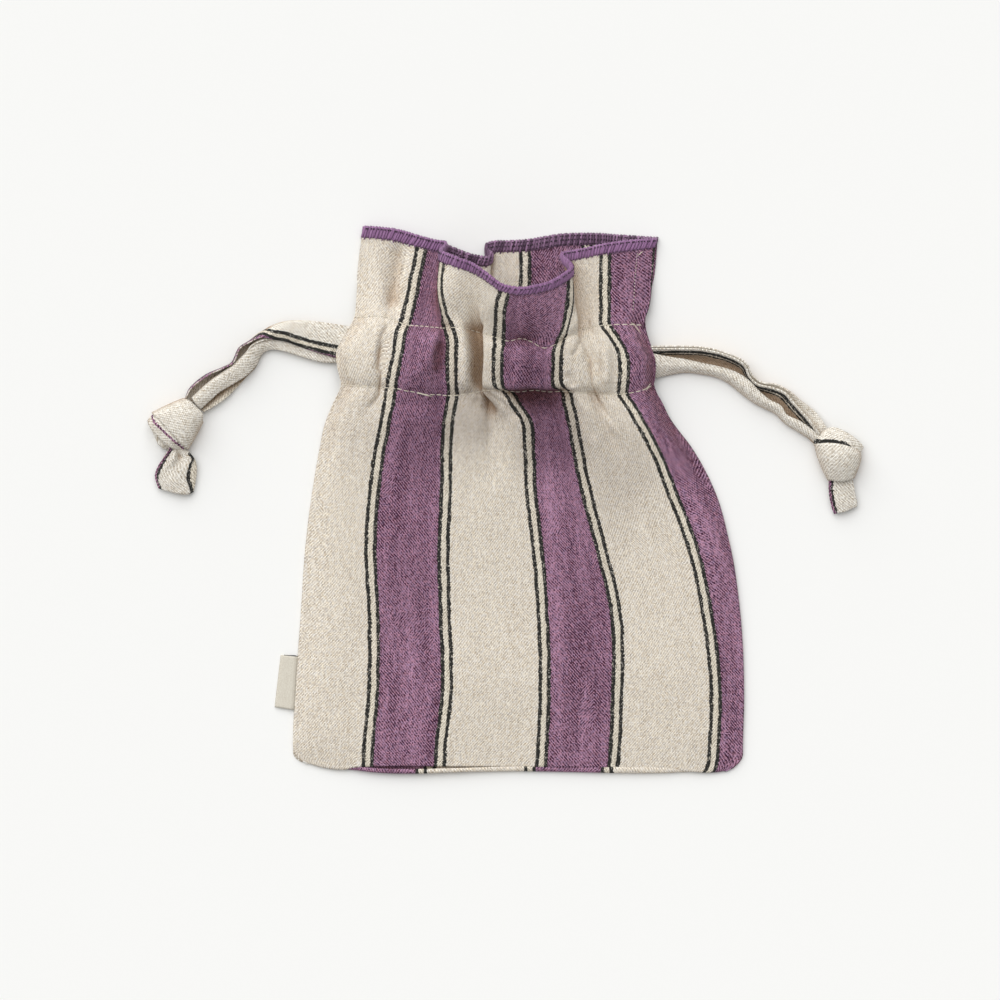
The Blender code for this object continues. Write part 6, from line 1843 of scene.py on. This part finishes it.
@dataclass
class Casing:
    """The channel's inner strips, the drawstrings inside it and its stitching; sizes in millimetres."""

    panels: Panels
    palette: Palette
    strip_cloth: float = 0.38
    strip_margin: float = 2.6       # plan units from a row of stitching to the strip's edge
    cord_cloth: float = 0.26
    cord_gap: float = 13.3          # plan units from the channel's middle line to each drawstring
    cord_side: float = 4.3          # height of a drawstring's middle at the channel's ends
    stitch: float = 2.45
    stitch_lift: float = 0.32
    stitch_floor: float = 0.16
    cord_profile: Spots = ((2.8, 0.22), (0.0, 0.3), (-2.7, 0.2), (-2.9, 0.0), (-2.7, -0.2), (0.0, -0.3),
                           (2.8, -0.22))
    cord_places: tuple[float, ...] = (6.5, 9.3, 12.0, 12.5, 13.0, 15.7, 18.5)
    pieces: dict[Face, list[Piece]] = field(default_factory=lambda: {Face.FRONT: [], Face.BACK: []})

    def strip(self, face: Face, ends: tuple[float, float], level: float, side: float) -> None:
        """An inner strip with the gathers pressed into it.

        Args:
            face: The panel that it is sewn to.
            ends: Plan places of its two ends.
            level: Height of its middle.
            side: Height of its ends.
        """
        x = np.linspace(*ends, 110)
        lower = np.interp(x, (341, 394, 451, 516, 600, 653), (384, 388, 395, 392, 393, 386))
        upper = np.interp(x, (354, 390, 450, 520, 575, 644), (318, 320, 328, 341, 334, 325))
        lower += self.strip_margin
        upper -= self.strip_margin
        rows = np.linspace(0.0, 1.0, 22)[:, None]
        plan = np.empty((len(rows), len(x), 3))
        plan[..., 0] = x
        plan[..., 1] = lower + rows * (upper - lower)
        middle = np.interp(x, (ends[0], 440, 575, ends[1]), (side, level, level, side))
        waves = 0.22 * soft_noise(*np.broadcast_arrays(x / 7.0, rows * 2.0), 31)
        fade = np.clip(np.minimum(x - ends[0], ends[1] - x) / 14.0, 0.0, 1.0)
        under = self.panels.lowest(plan[..., 0], plan[..., 1], 2.6) - 0.6
        plan[..., 2] = np.minimum(middle + waves * fade, under)
        cloth = flat_places(plan[..., 0] * 0.5, (400 - plan[..., 1]) * PLAN_MM)
        piece = cloth_shell(f"{face.value}_strip", plan_to_world(plan), self.strip_cloth * MILLI, cloth,
                            self.palette.strip)
        seat(piece, f"{face.value}_casing_strip")

    def loop_line(self, side: Side) -> Grid:
        """Middle line of a drawstring's run over the front of the channel, round its far end and back.

        Args:
            side: Where the drawstring comes out.

        Returns:
            World points.
        """
        ends, exit_y = {Side.LEFT: ((338.4, 632.0), 341.5), Side.RIGHT: ((351.0, 655.2), 361.5)}[side]
        runs = np.linspace(*ends, 90)[::-side.value]
        line = np.interp(runs, (336, 400, 455, 500, 545, 590, 655), (352, 354, 360, 363, 365, 360, 362))
        line = line + side.value * self.cord_gap
        drift = eased(np.clip(1.1 - np.abs(runs - runs[0]) / 21.0, 0.0, 1.0))
        line = line + drift * (exit_y - line)
        box_low, box_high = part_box(f"{side.name.lower()}_cord_loop")
        low = box_low[2] / MILLI + 0.45
        high = box_high[2] / MILLI - 0.45
        front = np.interp(runs, (362.0, 440, 575, 625.0), (self.cord_side, high, high, self.cord_side))
        front = np.minimum(front + drift * (3.4 - front), self.panels.lowest(runs, line, 8.5) - 1.4)
        back = low + drift * (1.6 - low)
        radius = (front[-1] - back[-1]) / 2
        angles = np.linspace(0.0, math.pi, 12)[1:-1]
        turns = np.column_stack((runs[-1] - side.value * radius / PLAN_MM * np.sin(angles),
                                 np.full(len(angles), line[-1]),
                                 (front[-1] + back[-1]) / 2 + radius * np.cos(angles)))
        upper, lower = (np.column_stack((runs, line, level)) for level in (front, back))
        return plan_to_world(np.concatenate((upper, turns, lower[::-1])))

    def loop(self, side: Side) -> None:
        """A drawstring's run round the channel, as a squeezed folded tape.

        Args:
            side: Where it comes out.
        """
        middle = self.loop_line(side)
        outward = unit(np.cross(unit(np.gradient(middle, axis=0)), np.array((0.0, 1.0, 0.0))))
        grid = np.stack([middle + np.array((0.0, wide * MILLI, 0.0)) + outward * (high * MILLI)
                         for wide, high in self.cord_profile], axis=1)
        cloth = flat_places(np.array(self.cord_places), run_lengths(middle)[:, None] / MILLI * 0.7)
        piece = cloth_shell(f"{side.name.lower()}_cased_cord", grid, self.cord_cloth * MILLI, cloth,
                            self.palette.cord["plain"])
        seat(piece, f"{side.name.lower()}_cord_loop")

    def sewn(self, face: Face, name: str, threads: Threads) -> None:
        """Make a piece of sewing thread that goes with a panel."""
        self.pieces[face].append(seat(threads.build(name, self.palette.cream)))

    def stitches(self, face: Face, place: str, height: float) -> None:
        """A row of machine stitches across a panel's outer face.

        Args:
            face: The panel that they are sewn into.
            place: Which row it is, for its name.
            height: Height of the row up the cloth.
        """
        panel = self.panels.surfaces[face]
        lift = self.stitch_lift * MILLI * (1.0 if face is Face.FRONT else -1.0)
        rises = np.array((-0.1, 0.9, 1.15, 0.9, -0.1)) * lift
        threads = Threads()
        for index in range(int(PANEL_MM / STITCH_PITCH)):
            first = index * STITCH_PITCH + 0.6
            shares = (first + np.array((0.0, 0.2, 0.5, 0.8, 1.0)) * self.stitch) / PANEL_MM
            if shares[-1] > 0.995:
                break
            sway = 0.12 * float(lattice_value(np.array(index), np.array(int(height)), 5))
            points, normals = panel.at(shares, np.full(len(shares), height + sway))
            line = points + normals * rises[:, None]
            line[:, 2] = np.maximum(line[:, 2], self.stitch_floor * MILLI)
            threads.add(line, normals, 0.18, 0.14)
        name = f"{face.value}_{place}_stitches"
        self.sewn(face, name, threads)
        log.info("%s: %d stitches", name, len(threads.lines))

    def topstitch(self) -> None:
        """Small stitches up the frill, just inside its right seam."""
        panel = self.panels.surfaces[Face.FRONT]
        rises = np.array((-0.1, 0.3, 0.3, -0.1)) * MILLI
        threads = Threads()
        for height in np.arange(163.5, 185.5, 1.15):
            points, normals = panel.at(np.full(4, 0.9645), height + np.array((0.0, 0.2, 0.45, 0.65)))
            threads.add(points + normals * rises[:, None], normals, 0.13, 0.11)
        self.sewn(Face.FRONT, "right_topstitch", threads)

    def snips(self) -> None:
        """Cut ends of sewing thread left on the front panel."""
        panel = self.panels.surfaces[Face.FRONT]
        threads = Threads()
        for run, radius in LOOSE_THREADS:
            points, normals = panel.at(*np.array(run).T)
            rises = np.interp(np.arange(len(run)), (0, 1, len(run) - 1), (0.1, 0.42, 0.34)) * MILLI
            threads.add(points + normals * rises[:, None], normals, radius, radius)
        self.sewn(Face.FRONT, "loose_threads", threads)

    def build(self) -> None:
        """Build the strips, the cased drawstrings and the stitching."""
        front_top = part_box("front_casing_strip")[1][2] / MILLI
        back_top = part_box("back_casing_strip")[1][2] / MILLI
        self.strip(Face.FRONT, (363.0, 624.0), front_top - 0.2, back_top + 0.5)
        self.strip(Face.BACK, (359.0, 625.0), back_top - 0.2, back_top - 0.2)
        for side in Side:
            self.loop(side)
        for face in Face:
            self.stitches(face, "lower", LOWER_ROW)
            self.stitches(face, "upper", UPPER_ROW)
        self.topstitch()
        self.snips()


@dataclass(frozen=True)
class Strand:
    """One free end of a drawstring, from the channel to its knot."""

    name: str
    node: str
    print_name: str
    cuts: tuple[Cut, ...]
    exit_point: tuple[float, float, float]
    drift: Spots = ((0.0, 0.0),)
    beside: tuple[Cut, ...] = ()


STRANDS = (
    Strand("left_over_strand", "left_cord_over", "left_over", LEFT_OVER_CUTS, (336.2, 341.8, 3.0),
           ((0.0, 0.0), (20.0, 1.2), (27.0, 1.2), (32.0, 0.0)), LEFT_UNDER_CUTS),
    Strand("left_under_strand", "left_cord_under", "left_under", LEFT_UNDER_CUTS, (336.2, 341.8, 1.6)),
    Strand("right_over_strand", "right_cord_over", "right_over", RIGHT_OVER_CUTS, (657.6, 361.5, 3.0),
           beside=RIGHT_UNDER_CUTS),
    Strand("right_under_strand", "right_cord_under", "right_under", RIGHT_UNDER_CUTS, (657.6, 361.5, 1.6)),
)

# Bands of each side's knot and its tail: name, cuts, print, how the print drifts, and the node it replaces
KNOT_BANDS = {
    "left": (("left_knot_wrap", LEFT_WRAP_CUTS, "plain", ((0.0, 0.0),), "left_cord_knot"),
             ("left_knot_second", LEFT_SECOND_CUTS, "left_second", ((0.0, 0.0),), None),
             ("left_tail_tape", LEFT_TAIL_CUTS, "left_tail", ((0.0, 0.0),), "left_cord_tail")),
    "right": (("right_knot_wrap", RIGHT_WRAP_CUTS, "plain", ((0.0, 0.0),), "right_cord_knot"),
              ("right_knot_second", RIGHT_SECOND_CUTS, "right_second", ((0.0, 0.0), (15.0, 0.0), (21.0, 2.8)),
               None),
              ("right_tail_tape", RIGHT_TAIL_CUTS, "right_tail", ((0.0, 0.0),), "right_cord_tail")),
}
KNOT_CORES = {"left": (LEFT_KNOT_CORE, 5.6), "right": (RIGHT_KNOT_CORE, 5.8)}


@dataclass
class Drawstrings:
    """The free ends of the two drawstrings with their knots and tails, in metres."""

    palette: Palette
    cloth: float = 0.00045
    width: float = 0.0092
    floor: float = 0.0003
    reverse: float = 60.0           # millimetres across the print to the strands' plain reverse side
    core_levels: Spots = ((0.72, 0.0), (0.9, 0.06), (0.94, 0.25), (0.92, 0.5), (0.84, 0.72), (0.68, 0.88),
                          (0.4, 0.98))

    def surface(self, cuts: tuple[Cut, ...]) -> Grid:
        """World points of the smooth surface through cuts across a strip.

        Args:
            cuts: Points across the strip in plan, one row for each cut.

        Returns:
            The points, six columns to each step across and seven rows to each step along.
        """
        knots = plan_to_world(np.array(cuts, float))
        last_row, last_column = knots.shape[0] - 1, knots.shape[1] - 1
        columns = np.linspace(0.0, last_column, last_column * 6 + 1)
        rows = np.linspace(0.0, last_row, last_row * 7 + 1)
        across = np.stack([cubic_through(np.arange(last_column + 1), cut, columns) for cut in knots])
        grid = cubic_through(np.arange(last_row + 1), across, rows)
        grid[..., 2] = np.maximum(grid[..., 2], self.floor)
        return grid

    def strip(self, name: str, cuts: tuple[Cut, ...], finish: Finish, drift: Spots, reverse: float = 0.0,
              beside: Grid | None = None) -> tuple[Piece, Grid]:
        """A strip of cloth through cuts across it.

        Args:
            name: Name of the piece.
            cuts: Points across the strip in plan, one row for each cut.
            finish: Its material.
            drift: How far the print has moved towards the first edge at some lengths, all in millimetres.
            reverse: How far the reverse side's places are moved across the print, in millimetres.
            beside: World points of the strip that lies beside it.

        Returns:
            The piece and the middle line of the strip.
        """
        grid = self.surface(cuts)
        middle = grid.mean(axis=1)
        widths, lengths = run_lengths(grid) / MILLI, run_lengths(middle) / MILLI
        places = widths + np.interp(lengths, *zip(*drift))[:, None]
        cloth = flat_places(places, lengths[:, None])
        piece = cloth_shell(name, grid, self.cloth, cloth, finish, reverse, beside)
        log.info("%s: %.1f mm wide, %.1f mm long", name, float(np.median(widths[:, -1])), lengths[-1])
        return piece, middle

    def core(self, name: str, outline: Spots, height: float, finish: Finish) -> Piece:
        """The knot's inside, a rounded lump that fills the wrapped bands.

        Args:
            name: Name of the piece.
            outline: Its outline in plan.
            height: Its height in millimetres.
            finish: Its material.

        Returns:
            The piece.
        """
        corners = np.array(outline + outline[:1], float)
        runs = run_lengths(corners)
        spots = np.linspace(0.0, runs[-1], 41)[:-1]
        ring = np.column_stack([np.interp(spots, runs, corners[:, axis]) for axis in (0, 1)])
        count = len(ring)
        middle = ring.mean(axis=0)
        rings = [np.column_stack((middle + (ring - middle) * share, np.full(count, rise * height)))
                 for share, rise in self.core_levels]
        plan = np.concatenate((*rings, ((*middle, 0.0), (*middle, height))))
        cloth = plan[:, :2] * PLAN_MM - (40.0, 100.0)
        cloth[:-2, 1] += plan[:-2, 2] / height * 6.0
        around = np.arange(count)
        after = (around + 1) % count
        ends = np.full(count, len(plan) - 2)
        last = len(plan) - 2 - count
        faces = np.stack((ends, after, around), axis=1).tolist()
        faces += np.stack((ends + 1, last + around, last + after), axis=1).tolist()
        for level in range(0, last, count):
            faces += np.stack((level + around, level + after, level + after + count, level + around + count),
                              axis=1).tolist()
        piece = add_mesh(name, plan_to_world(plan), faces, finish, cloth)
        face_outward(piece)
        return seat(piece)

    def knot(self, side: str) -> list[Piece]:
        """Build a side's knot and its tail.

        Args:
            side: Which side.

        Returns:
            Its pieces.
        """
        outline, height = KNOT_CORES[side]
        pieces = [self.core(f"{side}_knot_core", outline, height, self.palette.cord["plain"])]
        for name, cuts, print_name, drift, node in KNOT_BANDS[side]:
            piece, _ = self.strip(name, cuts, self.palette.cord[print_name], drift)
            pieces.append(seat(piece, node))
        return pieces

    def build(self) -> None:
        """Build both sides' knots, tails and strands."""
        knots = {f"{side}_over": self.knot(side) for side in ("left", "right")}
        for strand in STRANDS:
            beside = self.surface(strand.beside).reshape(-1, 3) if strand.beside else None
            finish = self.palette.cord[strand.print_name]
            piece, middle = self.strip(strand.name, strand.cuts, finish, strand.drift, self.reverse, beside)
            seat(piece, strand.node)
            exit_point = tuple(float(value) for value in plan_to_world(strand.exit_point))


@dataclass(frozen=True)
class SideLabel:
    """The folded woven tab at the left side seam, left bare."""

    palette: Palette
    thickness: float = 0.00028
    length: float = 6.2             # millimetres of ribbon for a share of one across the tab
    height: float = 19.0
    floor: float = 0.16
    top: Spots = ((281.0, 655.0), (296.9, 656.6))
    low: Spots = ((275.0, 707.0), (293.4, 710.0))
    layers: Spots = ((1.06, 0.3), (0.8, 0.34), (0.5, 0.36), (0.22, 0.34), (0.05, 0.25), (0.0, 0.0),
                     (0.05, -0.25), (0.22, -0.34), (0.5, -0.36), (0.8, -0.34), (1.06, -0.3))
    # Painted shade: dark tubes along the tab's open top end, each (line, half width, half height)
    opening: tuple[tuple[Cut, float, float], ...] = (
        (((284, 655, 0.7), (290, 655.6, 0.75), (297, 656.4, 0.8)), 0.2, 0.2),
        (((290, 655.5, 0.65), (295, 656.1, 0.7), (298.5, 656.7, 0.75)), 0.38, 0.24))

    def build(self) -> None:
        """Build both layers of the tab as one strip folded at its outer edge, and a dark tube of painted
        shade in its opening.
        """
        shares, gaps = np.array(self.layers).T
        (top_outer, top_inner), (low_outer, low_inner) = np.array(self.top), np.array(self.low)
        rows = np.linspace(0.0, 1.0, 28)[:, None]
        outer = (low_outer + rows * (top_outer - low_outer))[:, None]
        inner = (low_inner + rows * (top_inner - low_inner))[:, None]
        plan = np.empty((len(rows), len(shares), 3))
        plan[..., :2] = outer + shares[:, None] * (inner - outer)
        plan[..., 2] = np.maximum(0.45 + 0.27 * shares + 0.8 * gaps, self.floor)
        lengths = np.cumsum(np.abs(np.diff(shares, prepend=shares[0]))) * self.length
        piece = cloth_shell("side_tab", plan_to_world(plan), self.thickness,
                            flat_places(lengths, rows * self.height), self.palette.label)
        seat(piece, "side_label")
        threads = Threads()
        for line, wide, high in self.opening:
            threads.add(plan_to_world(line), np.tile((0.0, 0.0, 1.0), (len(line), 1)), wide, high)
        opening = seat(threads.build("side_tab_opening_shade", self.palette.label_inside))


@dataclass(frozen=True)
class Studio:
    """The pale floor, the soft light and the camera straight above."""

    height: float = 5.0
    picture: float = 0.36           # width of what the picture shows, in metres
    sensor: float = 36.0
    floor_size: float = 6.0
    floor_tone: Colour = tone(246, 246, 244)
    sun_energy: float = 2.68
    sun_angle: float = 84.0
    sun_turn: tuple[float, float] = (-40.0, -20.0)
    fill: float = 0.41

    def floor(self) -> None:
        """A wide, flat and pale floor."""
        bpy.ops.object.select_all(action="DESELECT")
        bpy.ops.mesh.primitive_plane_add(size=self.floor_size, location=(0.0, 0.0, 0.0))
        plane = bpy.context.object
        plane.name = "studio_floor"
        bench = Bench("Pale floor")
        bench.surface(self.floor_tone, 0.95, 0.0, 0.1)
        plane.data.materials.append(bench.material)

    def camera(self) -> None:
        """The camera, over the middle of the picture."""
        data = bpy.data.cameras.new("camera")
        data.lens = self.sensor * self.height / self.picture
        data.sensor_width = self.sensor
        camera = bpy.data.objects.new("camera", data)
        bpy.context.collection.objects.link(camera)
        camera.location = (*plan_to_world((500.0, 500.0, 0.0))[:2], self.height)
        bpy.context.scene.camera = camera

    def lights(self) -> None:
        """One broad soft light from the pouch's upper left and an even fill."""
        data = bpy.data.lights.new("soft_key", "SUN")
        data.energy = self.sun_energy
        data.angle = math.radians(self.sun_angle)
        key = bpy.data.objects.new("soft_key", data)
        bpy.context.collection.objects.link(key)
        key.rotation_euler = (*map(math.radians, self.sun_turn), 0.0)
        world = bpy.data.worlds.new("studio")
        bpy.context.scene.world = world
        world.use_nodes = True
        shade = world.node_tree.nodes["Background"]
        shade.inputs["Color"].default_value = (1.0, 1.0, 1.0, 1.0)
        shade.inputs["Strength"].default_value = self.fill

    def build(self) -> None:
        """Set up the floor, the camera, the light and the view."""
        bpy.context.scene.view_settings.view_transform = "Standard"
        self.camera()
        self.floor()
        self.lights()


def main() -> None:
    """Load the frame and build the pouch."""
    logging.basicConfig(level=logging.INFO, format="%(message)s")
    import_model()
    Studio().build()
    palette = Palette.filled()
    Drawstrings(palette).build()
    panels = Panels(palette)
    panels.build()
    hems = Hems(panels, palette)
    hems.build()
    casing = Casing(panels, palette)
    casing.build()
    SideLabel(palette).build()


if __name__ == "__main__":
    main()
